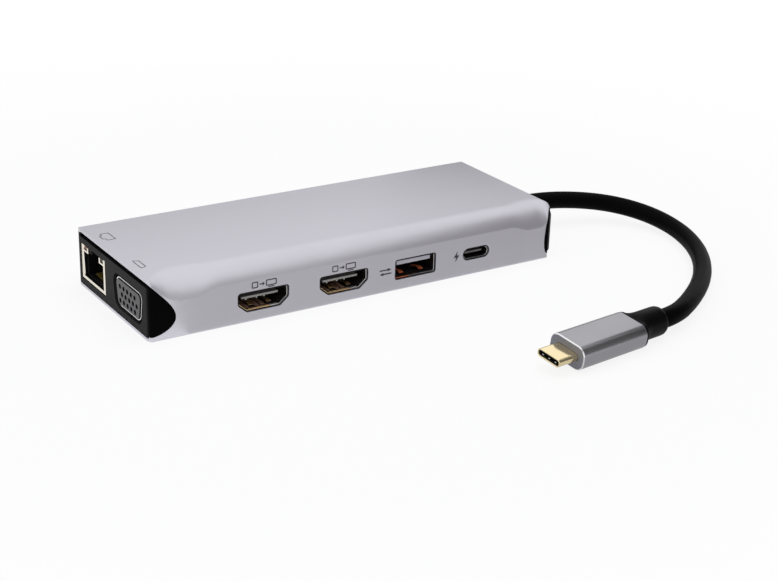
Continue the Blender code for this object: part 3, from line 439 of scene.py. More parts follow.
def bevelled(bm, edges, reach, segments):
    """Edges rounded, or cut off flat where there is one segment; gives back the new faces."""
    return bmesh.ops.bevel(bm, geom=edges, offset=reach, offset_type="OFFSET", segments=segments,
                           profile=0.5, affect="EDGES", material=-1)["faces"]


def slab(corners, axis, low, high, radius=0.0, segments=8):
    """An outline pulled out along an axis, with its upright edges rounded."""
    bm = bmesh.new()
    face = bm.faces.new([bm.verts.new(PLANES[axis](low, u, v)) for u, v in corners])
    pulled = bmesh.ops.extrude_face_region(bm, geom=[face])
    far = [part for part in pulled["geom"] if isinstance(part, bmesh.types.BMVert)]
    along = Vector(PLANES[axis](1.0, 0.0, 0.0))
    bmesh.ops.translate(bm, verts=far, vec=along * (high - low))
    bmesh.ops.recalc_face_normals(bm, faces=bm.faces)
    if radius:
        upright = [e for e in bm.edges
                   if abs((e.verts[1].co - e.verts[0].co).normalized().dot(along)) > PARALLEL]
        wanted = {e: radius * math.tan(e.calc_face_angle() / 2) for e in upright}
        for edge, reach in wanted.items():
            bevelled(bm, [edge], reach, segments)
    return bm


def end_faces(bm, axis):
    """The two flat ends of a slab."""
    along = Vector(PLANES[axis](1.0, 0.0, 0.0))
    return [f for f in bm.faces if abs(f.normal.dot(along)) > PARALLEL]


def sleeve(corners, axis, low, high, radius, sheet, segments=8):
    """A slab turned into a tube; its inner wall takes the second finish."""
    bm = slab(corners, axis, low, high, radius, segments)
    ends = end_faces(bm, axis)
    for face in ends:
        bmesh.ops.inset_region(bm, faces=[face], thickness=sheet, use_even_offset=True)
    rims = [edge for face in ends for edge in face.edges]
    bmesh.ops.delete(bm, geom=ends, context="FACES_ONLY")
    inner = bmesh.ops.bridge_loops(bm, edges=rims)
    for face in inner["faces"]:
        face.material_index = 1
    bmesh.ops.recalc_face_normals(bm, faces=bm.faces)
    return bm


def rod(radius, length, middle, segments):
    """A cylinder along X."""
    bm = bmesh.new()
    bmesh.ops.create_cone(bm, cap_ends=True, segments=segments, radius1=radius, radius2=radius,
                          depth=length)
    turned = Matrix.Translation(middle) @ Matrix.Rotation(math.pi / 2, 4, "Y")
    bmesh.ops.transform(bm, verts=bm.verts, matrix=turned)
    return bm


print("helpers for solids: bevelled, slab, end_faces, sleeve, rod")

# %% Joining, carving and finished pieces


def joined(*parts):
    """Several meshes that don't touch, as one."""
    whole = bmesh.new()
    for part in parts:
        mesh = as_mesh(part)
        whole.from_mesh(mesh)
        bpy.data.meshes.remove(mesh)
    return whole


def put_in_order(parts, place):
    """Number mesh parts by where they lie, so that every run has them in the same order."""
    rank = {part: i for i, part in enumerate(sorted(parts, key=place))}
    parts.sort(key=lambda part: rank[part])


def carve(bm, tool, operation="DIFFERENCE"):
    """One mesh cut by another, joined to it, or trimmed to what they share."""
    blanks = [placed("blank", as_mesh(part)) for part in (bm, tool)]
    modifier = blanks[0].modifiers.new("carve", "BOOLEAN")
    modifier.operation = operation
    modifier.solver = "EXACT"
    modifier.object = blanks[1]
    made = bmesh.new()
    made.from_object(blanks[0], bpy.context.evaluated_depsgraph_get())
    for blank in blanks:
        mesh = blank.data
        bpy.data.objects.remove(blank)
        bpy.data.meshes.remove(mesh)
    put_in_order(made.verts, lambda vert: tuple(vert.co))
    put_in_order(made.edges, lambda edge: tuple(edge.verts[0].co + edge.verts[1].co))
    put_in_order(made.faces, lambda face: tuple(face.calc_center_median()))
    bmesh.ops.remove_doubles(made, verts=made.verts, dist=WELD)
    bmesh.ops.dissolve_limit(made, angle_limit=FLAT, verts=made.verts, edges=made.edges)
    return made


def paint(bm, choice):
    """Give every face the finish that its middle calls for, by number."""
    for face in bm.faces:
        face.material_index = int(choice(face.calc_center_median()))


def piece(name, bm, finishes, stands_for=(), soften=0.0, smooth=30.0):
    """A finished mesh that rides on the hub, with its place in its vertices."""
    mesh = as_mesh(bm, name)
    for material in finishes:
        mesh.materials.append(material)
    mesh.shade_smooth()
    mesh.set_sharp_from_angle(angle=math.radians(smooth))
    made = placed(name, mesh)
    if soften:
        edge = made.modifiers.new("soft_edges", "BEVEL")
        edge.width = soften
        edge.segments = 2
        edge.limit_method = "ANGLE"
        edge.angle_limit = math.radians(40)
        edge.harden_normals = True
    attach(made, "hub")
    if stands_for:
        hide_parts(*stands_for)
    print(f"{name}: {len(mesh.polygons)} faces")
    return made


# %% [markdown]
# ## The housing tube
# The housing is an extruded aluminium tube, milled after cutting: a flat port face, a long rounded
# shoulder above it, and near each end a lobe where the shoulder's lower edge dips and then climbs
# to the top. The section is drawn once and extruded from station to station. Each point remembers
# its number in the section, so the lobes can be pressed in afterwards by moving the points.

# %% Section of the tube, and how its lobes run
HALF_LENGTH, HALF_DEPTH, HEIGHT, WALL = mm(66.7, 24.3, 17.5, 1.2)
CREASE, LOBE_CREASE, SHOULDER = mm(12.15, 10.5, 6.0)
LOBE_BULGE, LOBE_LENGTH, LOBE_RUN_OUT = mm(0.3, 3.5, 7.0)
REAR_ROUND, FIT, LEFT_LIP, HOLD = mm(1.4, 0.2, 0.8, 0.5)
LEFT_NOSE, RIGHT_NOSE, NOSE_TIP = mm(7.9, 1.5, 6.1)
LEFT_END, RIGHT_END = mm(10.4, 0.25), mm(4.0, 2.0)
TURN, CLIMB = math.radians(75), 2.1
SHOULDER_STEPS, REAR_STEPS, CLIMB_STEPS, RUN_OUT_STEPS = 32, 14, 30, 16


def tube_section(half, bottom, crease, ceiling, reach, rear):
    """Y and Z round the tube: front wall, shoulder, top, rear edge, rear wall."""
    points = [(-half, bottom)]
    for step in range(SHOULDER_STEPS + 1):
        t = TURN * (1 - step / SHOULDER_STEPS)
        y = reach * (1 - math.sin(t) / math.sin(TURN))
        z = ceiling - (ceiling - crease) * (1 - math.cos(t)) / (1 - math.cos(TURN))
        points.append((y - half, z))
    points += [(reach - half + HOLD, ceiling), (half - rear - HOLD, ceiling)]
    for step in range(REAR_STEPS + 1):
        t = math.pi / 2 * step / REAR_STEPS
        points.append((half - rear * (1 - math.sin(t)), ceiling - rear * (1 - math.cos(t))))
    return points + [(half, ceiling - rear - HOLD), (half, bottom)]


def crease_at(inset, foot, lip):
    """Height of the shoulder's lower edge: a power curve at the left end, a circle at the right."""
    if inset < foot:
        run = min(1 - inset / foot, 1.0)
        climb = run ** CLIMB if foot == LEFT_END[0] else 1 - math.sqrt(1 - run * run)
        return LOBE_CREASE + (HEIGHT - lip - LOBE_CREASE) * climb
    t = min(max((inset - foot - LOBE_LENGTH) / LOBE_RUN_OUT, 0.0), 1.0)
    return LOBE_CREASE + (CREASE - LOBE_CREASE) * t * t * (3 - 2 * t)


def lobed_section(x):
    """The outside of the tube at a place along it."""
    foot, lip = LEFT_END if x < 0 else RIGHT_END
    crease = crease_at(HALF_LENGTH - abs(x), foot, lip)
    share = (HEIGHT - crease) / (HEIGHT - CREASE)
    bulge = LOBE_BULGE * min(max((CREASE - crease) / (CREASE - LOBE_CREASE), 0.0), 1.0)
    outline = tube_section(HALF_DEPTH, 0.0, crease, HEIGHT, SHOULDER * share, REAR_ROUND)
    return [(y - bulge if y < 0 < z else y, z) for y, z in outline]


def tunnel_section(gap=0.0):
    """The hollow of the tube, or what fits in it with a gap all round."""
    drop = WALL * math.tan(TURN / 2)
    return tube_section(HALF_DEPTH - WALL - gap, WALL + gap, CREASE - drop - gap,
                        HEIGHT - WALL - gap, SHOULDER - drop, FIT)


print("section:", len(tunnel_section()), "points")

# %% Extrude the tube and press its lobes in


def insets(foot):
    """Distances in from one end where the tube gets a station."""
    climb = [foot * (1 - math.cos(math.pi / 2 * i / CLIMB_STEPS)) for i in range(CLIMB_STEPS + 1)]
    return climb + [foot + LOBE_LENGTH + LOBE_RUN_OUT * i / RUN_OUT_STEPS
                    for i in range(RUN_OUT_STEPS + 1)]


def pressed(section, stations, shape):
    """A section extruded through the stations, each point then put where the shape has it."""
    bm = bmesh.new()
    number = bm.verts.layers.int.new("number")
    ring = [bm.verts.new((stations[0], y, z)) for y, z in section]
    for i, vert in enumerate(ring):
        vert[number] = i
    first = edges = [bm.edges.new((ring[i - 1], ring[i])) for i in range(len(ring))]
    for x, next_x in zip(stations, stations[1:]):
        step = bmesh.ops.extrude_edge_only(bm, edges=edges)["geom"]
        moved = [part for part in step if isinstance(part, bmesh.types.BMVert)]
        bmesh.ops.translate(bm, verts=moved, vec=(next_x - x, 0, 0))
        row = set(moved)
        edges = [part for part in step
                 if isinstance(part, bmesh.types.BMEdge) and row.issuperset(part.verts)]
    for vert in bm.verts:
        vert.co.y, vert.co.z = shape(vert.co.x, vert[number])
    for end in (first, edges):
        bmesh.ops.edgeloop_fill(bm, edges=end)
    bmesh.ops.recalc_face_normals(bm, faces=bm.faces)
    return bm


stations = sorted([x - HALF_LENGTH for x in insets(LEFT_END[0])]
                  + [HALF_LENGTH - x for x in insets(RIGHT_END[0])])
plain = tube_section(HALF_DEPTH, 0.0, CREASE, HEIGHT, SHOULDER, REAR_ROUND)
tube = pressed(plain, stations, lambda x, i: lobed_section(x)[i])
print("tube:", len(tube.faces), "faces,", len(stations), "stations")

# %% [markdown]
# ## Ports, notches and corners of the tube
# A milling cutter opens the four ports and the notch at each end that the cap's cheek fills, and
# rounds the corners. Each port is the outline of its socket with a small gap round it.

# %% Outlines of the sockets
VIDEO_OUTLINE = in_mm([(-5.1, -2.65), (5.1, -2.65), (7.7, -0.45),
                       (7.7, 2.65), (-7.7, 2.65), (-7.7, -0.45)])
PORTS = {}
for name, socket, corners, radius in (
    ("data", "data_socket", oblong(*mm(13.6, 5.6)), 0.5 * MM),
    ("power", "power_socket", oblong(*mm(8.94, 3.16)), 1.548 * MM),
    ("video_1", "video_socket_1", VIDEO_OUTLINE, 0.6 * MM),
    ("video_2", "video_socket_2", VIDEO_OUTLINE, 0.6 * MM),
):
    low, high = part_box(f"{socket}_shell")
    middle = (low.x + high.x) / 2, (low.z + high.z) / 2
    PORTS[name] = (name.split("_")[0], socket, corners, *middle, radius, low.y, high.y)
print("ports:", {name: round(port[3] / MM, 1) for name, port in PORTS.items()})

# %% Carve the tube
PORT_GAP, LIP_DEPTH, LEFT_CORNER, RIGHT_CORNER = mm(0.35, 3.0, 2.0, 0.5)
FRONT, LEFT = -HALF_DEPTH, -HALF_LENGTH


def bent(start, first, second, end, steps):
    """Points on a cubic curve, without its start."""
    points = []
    for i in range(1, steps + 1):
        t = i / steps
        weights = ((1 - t) ** 3, 3 * t * (1 - t) ** 2, 3 * t * t * (1 - t), t ** 3)
        places = (start, first, second, end)
        points.append(tuple(sum(w * p[k] for w, p in zip(weights, places)) for k in (0, 1)))
    return points


def nose(depth, side, gap=0.0, beyond=0.0):
    """The cheek's outline in X and Z, at the end on this side."""
    foot, top = WALL + FIT - gap, HEIGHT - (WALL if side > 0 else LEFT_LIP) - FIT + gap
    reach, rise, drop = depth - FIT + gap, top - NOSE_TIP, NOSE_TIP - foot
    tip = (reach, NOSE_TIP)
    above = (reach * 0.59, top - rise * 0.46), (reach, NOSE_TIP + rise * 0.27)
    below = (reach, NOSE_TIP - drop * 0.54), (reach * 0.54, foot)
    line = [(0.0, top), *bent((0.0, top), *above, tip, 24), *bent(tip, *below, (0.0, foot), 20)]
    if beyond:
        line = [(-beyond, top), *line, (-beyond, foot)]
    line = [(side * (HALF_LENGTH - inset), z) for inset, z in line]
    return line if side > 0 else line[::-1]


def corner_block():
    """An upright block with the tube's rounded plan."""
    plan = oblong(2 * HALF_LENGTH, 2 * (HALF_DEPTH + LOBE_BULGE))
    block = slab(plan, "Z", -MM, HEIGHT + MM)
    for edge in [e for e in block.edges if abs(e.verts[0].co.z - e.verts[1].co.z) > MM]:
        bevelled(block, [edge], LEFT_CORNER if edge.verts[0].co.x < 0 else RIGHT_CORNER, 14)
    return block


cuts = [slab(at(grown(corners, PORT_GAP), x, z), "Y", FRONT - PAST, FRONT + 2 * PAST,
             radius + PORT_GAP, 12) for _, _, corners, x, z, radius, _, _ in PORTS.values()]
cuts += [slab(nose(depth, end, FIT, PAST), "Y", FRONT - PAST, -FRONT + PAST)
         for depth, end in ((LEFT_NOSE, -1), (RIGHT_NOSE, 1))]
tube = carve(tube, slab(tunnel_section(), "X", LEFT - PAST, HALF_LENGTH + PAST))
tube = carve(tube, slab(tunnel_section(LEFT_LIP - WALL), "X", LEFT - PAST, LIP_DEPTH - HALF_LENGTH))
tube = carve(tube, joined(*cuts))
tube = carve(tube, corner_block(), "INTERSECT")
piece("housing_tube", tube, [ALUMINIUM], ["shell"], smooth=9)

# %% [markdown]
# ## The end caps
# Each end of the tube is closed by a black moulded cap. Its cheeks come through the notches as
# rounded noses, flush with the long walls. The left cap's face holds the network and monitor
# sockets. The faces have a fine spark-eroded grain that scatters light. The cheeks, which the lamps
# leave dark, are painted deep black as painted shade, and so is a strip under the tube's lip, as
# painted shade in the groove. Two materials would meet in a hard line, so one finish fades to that
# painted shade by distance from the middle, and to the groove by height.

# %% Finish of the caps
CHEEK_SHADE_FADE, GROOVE_SHADE_FADE = mm(22.4, 24.0), mm(15.1, 15.4)
PAINTED_SHADE_BLACK = (0.0005, 0.0005, 0.0006, 1)
CAP_BLACK = finish("cap_plastic", (0.027, 0.027, 0.027), (0.022, 0.022, 0.022), 0.45, 0.58,
                   0.18, 0.25, specular=0.03)
cap_tree = CAP_BLACK.node_tree
spot = node(cap_tree, "ShaderNodeTexCoord").outputs["Object"]
split = node(cap_tree, "ShaderNodeSeparateXYZ", {"Vector": spot}).outputs
# Painted shade: the cheeks and the strip just under the tube's lip are mixed towards near black.
cheek_shade_mask = eased(cap_tree, maths(cap_tree, "ABSOLUTE", split["Y"]), *CHEEK_SHADE_FADE)
groove_shade_mask = eased(cap_tree, split["Z"], *GROOVE_SHADE_FADE)
cap_shader = cap_tree.nodes["Principled BSDF"]
cheek = node(cap_tree, "ShaderNodeMix", {
    "Factor": maths(cap_tree, "MAXIMUM", cheek_shade_mask, groove_shade_mask), "B": PAINTED_SHADE_BLACK,
    "A": cap_shader.inputs["Base Color"].links[0].from_socket}, data_type="RGBA")
feed(cap_tree, cap_shader, {"Base Color": cheek.outputs["Result"]})
print("cap finish:", len(cap_tree.nodes), "nodes")

# %% Left cap
CAP_DEPTH, CAP_PLATE, CAP_SKIRT = mm(10.0, 1.8, 1.2)
NET_Y, NET_Z, NET_WIDTH, NET_HEIGHT = mm(13.2, 8.1, 17.0, 10.3)
MON_Y, MON_Z, MON_WIDTH, MON_HEIGHT, MON_ROUND = mm(-10.9, 7.8, 17.5, 8.5, 2.2)
MON_SLANT = math.radians(10)
MOAT_SIDE, MOAT_RISE, MOAT_DEPTH, GROOVE_DEPTH = mm(1.4, 0.75, 3, 0.8)
GROOVE = oblong(*mm(44.8, 2, -0.9), HEIGHT - WALL)


def monitor_corners(beside=0.0, rise=0.0):
    """The monitor socket's D: wide on top, sides slanted in."""
    wide, tall = MON_WIDTH / 2 + beside, MON_HEIGHT / 2 + rise
    narrow = wide - MON_HEIGHT * math.tan(MON_SLANT)
    return at([(-narrow, -tall), (narrow, -tall), (wide, tall), (-wide, tall)], MON_Y, MON_Z)


cap = slab(nose(LEFT_NOSE, -1), "Y", FRONT, -FRONT)
cap = carve(cap, slab(tunnel_section(FIT), "X", LEFT + FIT, LEFT + CAP_DEPTH), "UNION")
margin = WALL + FIT + CAP_SKIRT
pocket = oblong(2 * (HALF_DEPTH - margin), HEIGHT - 2 * margin, 0, HEIGHT / 2)
cap = carve(cap, slab(pocket, "X", LEFT + CAP_PLATE, LEFT + CAP_DEPTH + PAST))
network_hole = grown(oblong(NET_WIDTH, NET_HEIGHT, NET_Y, NET_Z), FIT)
cap = carve(cap, slab(network_hole, "X", LEFT - PAST, LEFT + CAP_DEPTH + PAST))
moat = monitor_corners(MOAT_SIDE, MOAT_RISE)
cap = carve(cap, slab(moat, "X", LEFT - PAST, LEFT + MOAT_DEPTH, MON_ROUND + MOAT_RISE, 12))
cap = carve(cap, slab(GROOVE, "X", LEFT - MM, LEFT + FIT + GROOVE_DEPTH))
cap = carve(cap, corner_block(), "INTERSECT")
piece("left_end_cap", cap, [CAP_BLACK], ["left_cap"], soften=0.12 * MM)

# %% Right cap
PROUD, PLATE_FOOT, PLATE_ROUND = mm(0.6, 0.3, 1.6)
PLATE = oblong(2 * (HALF_DEPTH - 0.05 * MM), 13.6 * MM, 0, 8.4 * MM)
CABLE_HOLE, RECESS, BORE_LENGTH = mm(3.9, 4.6, 6)
# Painted light: the right cap's end face is painted a lighter grey than the cap, as if lit from the
# right.
CAP_END_PAINTED_LIGHT = finish("cap_end_plastic", (0.08, 0.08, 0.084), (0.066, 0.066, 0.07), 0.45, 0.58,
                  0.18, 0.25, specular=0.1)
cap = slab(nose(RIGHT_NOSE, 1), "Y", FRONT, -FRONT)
cap = carve(cap, slab(tunnel_section(FIT), "X", HALF_LENGTH - CAP_DEPTH, HALF_LENGTH), "UNION")
cap = carve(cap, slab(pocket, "X", HALF_LENGTH - CAP_DEPTH - PAST, HALF_LENGTH - CAP_PLATE))
plate = slab(PLATE, "X", HALF_LENGTH - PLATE_FOOT, HALF_LENGTH + PROUD, PLATE_ROUND, 8)
cap = carve(cap, plate, "UNION")
for radius, start in ((CABLE_HOLE, HALF_LENGTH - CAP_PLATE - MM), (RECESS, HALF_LENGTH)):
    cap = carve(cap, rod(radius, BORE_LENGTH, (start + BORE_LENGTH / 2, 0, HEIGHT / 2), 48))
# The end face takes the painted-light grey.
paint(cap, lambda middle: middle.x > HALF_LENGTH + 0.01 * MM)
piece("right_end_cap", cap, [CAP_BLACK, CAP_END_PAINTED_LIGHT], ["right_cap"], soften=0.2 * MM)

# %% [markdown]
# ## The network socket
# A network jack sits in a folded tin-plated shield. From the front one sees its two sides, its sill
# and two small brackets that frame the indicator windows in the upper corners. The shield is drawn
# as a slab with the opening carved out, and the brackets are joined on.

# %% Shield and brackets
SHIELD_TIN = finish("shield_tin", (0.9, 0.85, 0.75), (0.84, 0.79, 0.68), 0.26, 0.36,
                    0.2, 0.05, 1.0, 4)
# Black plastic of the insert and the plug's lining, also used as painted shade inside the shield.
SOCKET_BLACK_AND_SHADE = finish("socket_black", (0.003, 0.003, 0.003), (0.002, 0.002, 0.002), 0.45, 0.6,
                      0.2, 0.15, specular=0.15)
SHIELD_DEPTH, FAR_ROUND, LEDGE, OVERLAP = mm(18, 0.35, 0.5, 0.2)
SIDE_WALL, SILL, LINTEL, POST_WIDTH = mm(1.45, 0.9, 0.35, 0.85)
LENS_WIDTH, LENS_HEIGHT, SKIN = mm(2.0, 0.75, 0.1)
net_front = LEFT + FIT
bottom, ceiling = NET_Z - NET_HEIGHT / 2, NET_Z + NET_HEIGHT / 2
window_top, window_side = ceiling - LINTEL, NET_WIDTH / 2 - SIDE_WALL
bracket_width, bracket_height = LENS_WIDTH + 2 * FIT, LENS_HEIGHT + 2 * FIT
inner_u, ledge_top = window_side - bracket_width, window_top - bracket_height
BRACKET = [(inner_u - POST_WIDTH, ledge_top - LEDGE), (window_side + OVERLAP, ledge_top - LEDGE),
           (window_side + OVERLAP, ledge_top), (inner_u, ledge_top), (inner_u, window_top),
           (inner_u - POST_WIDTH, window_top)]

shield = slab(oblong(NET_WIDTH, NET_HEIGHT, NET_Y, NET_Z), "X", net_front, net_front + SHIELD_DEPTH)
opening = between(NET_Y - window_side, bottom + SILL, NET_Y + window_side, window_top)
shield = carve(shield, slab(opening, "X", net_front - MM, net_front + SHIELD_DEPTH + MM))
gate = oblong(2 * window_side, 2 * MM, NET_Y, window_top + 0.9 * MM)
shield = carve(shield, slab(gate, "X", net_front - MM, net_front + MM))
for end in (1, -1):
    turned = [(NET_Y + end * u, v) for u, v in BRACKET][::end]
    bracket = slab(turned, "X", net_front + 0.1 * MM, net_front + 0.95 * MM)
    shield = carve(shield, bracket, "UNION")
rear_edge = [e for e in shield.edges
             if all(abs(v.co.x - net_front) < TOUCH and abs(v.co.y - NET_Y - window_side) < TOUCH
                    for v in e.verts)]
bevelled(shield, rear_edge, FAR_ROUND, 3)
print("edges rounded on the far wall:", len(rear_edge))
# Painted shade: the tin shield's inner walls deeper than 2 mm take the near-black finish.
paint(shield, lambda middle: middle.x > net_front + 2 * MM
      and abs(middle.y - NET_Y) < NET_WIDTH / 2 - SKIN
      and abs(middle.z - NET_Z) < NET_HEIGHT / 2 - SKIN)
piece("network_socket_shield", shield, [SHIELD_TIN, SOCKET_BLACK_AND_SHADE], ["network_shield"],
      soften=0.06 * MM)

# %% Indicator lenses, insert and contacts
LENS_AMBER = finish("amber_lens", (0.32, 0.07, 0.035), (0.2, 0.04, 0.025), 0.18, 0.3, 0.4, 0.05)
LENS_GREEN = finish("green_lens", (0.1, 0.11, 0.09), (0.05, 0.06, 0.045), 0.18, 0.3, 0.4, 0.05)
GOLD = finish("plated_gold", (1.0, 0.86, 0.55), (0.97, 0.8, 0.47), 0.1, 0.17, 0.15, 0.03, 1.0, 5)
# Painted shade: a darkened copy of the gold, for the contacts deep in the network socket.
SHADED_CONTACT_GOLD = finish("contact_gold", (0.5, 0.38, 0.1), (0.22, 0.15, 0.04), 0.2, 0.3,
                      0.2, 0.04, 0.7, 1)
for end, tint, name in ((1, LENS_AMBER, "left"), (-1, LENS_GREEN, "right")):
    middle = NET_Y + end * (window_side - bracket_width / 2)
    lens = slab(oblong(LENS_WIDTH, LENS_HEIGHT, middle, window_top - bracket_height / 2), "X",
                net_front + 0.4 * MM, net_front + 0.8 * MM, 0.2 * MM, 4)
    piece(f"network_lens_{name}", lens, [tint], [f"network_led_{name}"], soften=0.08 * MM)


def dress(name, material):
    """A solid that stays gets a finish."""
    frame["nodes"][name].data.materials.clear()
    frame["nodes"][name].data.materials.append(material)


dress("network_insert", SOCKET_BLACK_AND_SHADE)
dress("network_contacts", SHADED_CONTACT_GOLD)
print("network socket dressed")

# %% [markdown]
# ## The monitor socket
# Fifteen holes in three rows sit in a grey moulded block, and a thin D-shaped shell of bright steel
# stands round it, a little lower than the block. The shell is a sleeve. The holes are cylinders
# carved out of the block. Little light gets between the block and the shell or into the holes, so
# every face behind the front takes a darker finish.

# %% D-shaped shell
BRIGHT_STEEL_AND_HIGHLIGHT = finish("bright_steel", (0.86, 0.86, 0.87), (0.78, 0.78, 0.8), 0.18, 0.28,
                      0.2, 0.04, 1.0, 5)
MON_SHEET, MON_SETBACK, MON_STEP, MON_DEPTH = mm(0.35, 0.4, 0.3, 5.8)
FLANGE_FRONT, FLANGE_BACK, FLANGE_ROUND, BITE = mm(2.1, 2.6, 0.5, 0.1)
FLANGE = oblong(*mm(18.7, 9.5), MON_Y, MON_Z)
rim_x = LEFT + MON_SETBACK
rim = sleeve(monitor_corners(), "X", rim_x, rim_x + MON_DEPTH, MON_ROUND, MON_SHEET, 10)
flange = slab(FLANGE, "X", LEFT + FLANGE_FRONT, LEFT + FLANGE_BACK, FLANGE_ROUND)
window = slab(grown(monitor_corners(), -BITE), "X", LEFT, LEFT + 2 * PAST, MON_ROUND - BITE, 10)
flange = carve(flange, window)
piece("monitor_socket_rim", joined(rim, flange), [BRIGHT_STEEL_AND_HIGHLIGHT, BRIGHT_STEEL_AND_HIGHLIGHT],
      ["monitor_socket_shell"], soften=0.1 * MM)

# %% Block with its fifteen holes
BLOCK_GREY = finish("block_grey", (0.085, 0.085, 0.089), (0.07, 0.07, 0.074), 0.42, 0.55,
                    0.25, 0.12)
HOLE_DARK = finish("hole_dark", (0.006, 0.006, 0.006), (0.004, 0.004, 0.004), 0.5, 0.6,
                   specular=0.2)
HOLE_PITCH, ROW_PITCH, HOLE_DROP = mm(2.42, 2.08, 0.3)
HOLE_RADIUS, HOLE_LENGTH, HOLE_MIDDLE = mm(0.7, 5, 1.5)
face_x, block_end = rim_x - MON_STEP, rim_x + MON_DEPTH
block = slab(grown(monitor_corners(), -MON_SHEET - FIT), "X", face_x, block_end + 2 * FIT,
             MON_ROUND - 0.55 * MM, 10)
low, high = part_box("monitor_socket_insulator")
body = slab(between(low.y, low.z, high.y, high.z), "X", block_end + FIT, high.x)
block = carve(block, body, "UNION")
holes = []
for row in range(3):
    for column in range(5):
        y = MON_Y + (column - 2) * HOLE_PITCH - (row % 2 - 0.5) * HOLE_PITCH / 2
        z = MON_Z - HOLE_DROP + (row - 1) * ROW_PITCH
        holes.append(rod(HOLE_RADIUS, HOLE_LENGTH, (face_x + HOLE_MIDDLE, y, z), 24))
block = carve(block, joined(*holes))
paint(block, lambda middle: middle.x > face_x + 0.05 * MM)
piece("monitor_socket_block", block, [BLOCK_GREY, HOLE_DARK], ["monitor_socket_insulator"],
      soften=0.06 * MM)

# %% [markdown]
# ## The front sockets
# Each front socket is a plated sleeve set a little behind the port face, with a flat tongue inside
# that carries the contacts. The sleeve's front is painted near black and its inner walls dark, as
# painted shade in the recess. The edge round its mouth is bevelled, and the bevel faces that face
# left or up are painted bright as a painted highlight; low on the left of the lip that highlight is
# painted warm, as a painted warm reflection. In three of them two leaf springs rise from the floor,
# below the tongue, to hold a plug. The video sockets also have ribs, contact noses and a ramp
# behind the lower lip, painted warm on its left part as painted warm reflection and bright on the
# rest.

# %% Sleeves with a painted highlight on the inner lip
# Painted shade: the sleeve's front is near black and its inner walls dark.
SLEEVE_PAINTED_SHADE = finish("dark_nickel", (0.006, 0.006, 0.007), (0.004, 0.004, 0.005), 0.35, 0.45,
                     0.2, 0.05, specular=0.1)
INNER_PAINTED_SHADE = finish("inner_dark", (0.012, 0.009, 0.008), (0.006, 0.005, 0.005), 0.3, 0.42,
                    0.3, 0.06, specular=0.3)
SPRING_GOLD_AND_WARM_GLOW = finish("sleeve_gold", (1.0, 0.78, 0.46), (1.0, 0.66, 0.34), 0.25, 0.35,
                     0.2, 0.04, 1.0, 3)
SPRING_COPPER_AND_WARM_GLOW = finish("spring_copper", (0.85, 0.24, 0.1), (0.6, 0.13, 0.05), 0.25, 0.4, 0.3, 0.05, 0.3, 2)
# sheet, lip and where the painted warm reflection on the lower lip ends, in millimetres, and the
# springs' metal, also painted on the lip as that warm reflection
SLEEVES = {"video": (0.28, 0.2, 2.5, SPRING_GOLD_AND_WARM_GLOW), "data": (0.25, 0.15, -2.0, SPRING_COPPER_AND_WARM_GLOW),
           "power": (0.22, 0.15, -9.0, SPRING_GOLD_AND_WARM_GLOW)}
LIT, LOWER_LIP = 0.15, 0.7 * MM


def bevel_lip_painted_light(bm, mouth, width):
    """Bevels the edge between a sleeve's front and inner wall; paints the bevel faces that face
    left or up bright as a painted highlight and the rest as the inner wall's painted shade, and
    gives back the bright ones.
    """
    edge = [e for e in bm.edges if all(abs(v.co.y - mouth) < WELD for v in e.verts)
            and {f.material_index for f in e.link_faces} == {0, 1}]
    made = bevelled(bm, edge, width, 2)
    # Painted highlight: bevel faces facing left or up are bright, the others take the inner painted
    # shade.
    for face in made:
        face.material_index = 2 if face.normal.x < -LIT or face.normal.z > LIT else 1
    return [face for face in made if face.material_index == 2]


for name, (kind, socket, corners, x, z, radius, mouth, back) in PORTS.items():
    sheet, lip, warm_to, warm = SLEEVES[kind]
    body = sleeve(at(corners, x, z), "Y", mouth, back, radius, sheet * MM)
    warm_end = x + warm_to * MM
    bmesh.ops.bisect_plane(body, geom=body.verts[:] + body.edges[:] + body.faces[:],
                           plane_co=(warm_end, 0, 0), plane_no=(1, 0, 0))
    for face in bevel_lip_painted_light(body, mouth, lip * MM):
        place = face.calc_center_median()
        # Painted warm reflection: lit lip faces low on the left take the warm metal.
        if place.z < z - LOWER_LIP and place.x < warm_end:
            face.material_index = 3
    piece(f"{name}_sleeve", body, [SLEEVE_PAINTED_SHADE, INNER_PAINTED_SHADE, BRIGHT_STEEL_AND_HIGHLIGHT, warm],
          [f"{socket}_shell"])

# %% Tongues and contacts
PALE_TONGUE = finish("pale_tongue", (0.62, 0.6, 0.68), (0.54, 0.53, 0.6), 0.35, 0.5, 0.3, 0.1)
GREY_TONGUE = finish("grey_tongue", (0.5, 0.49, 0.48), (0.3, 0.29, 0.28), 0.35, 0.5, 0.3, 0.2,
                     cloud_mm=1.0)
STEM_BLACK = finish("stem_black", (0.022, 0.019, 0.02), (0.015, 0.012, 0.012), 0.45, 0.6,
                    0.2, 0.15, specular=0.2)
DIM_TONGUE = finish("dim_tongue", (0.2, 0.2, 0.21), (0.15, 0.15, 0.16), 0.35, 0.5, 0.3, 0.1)
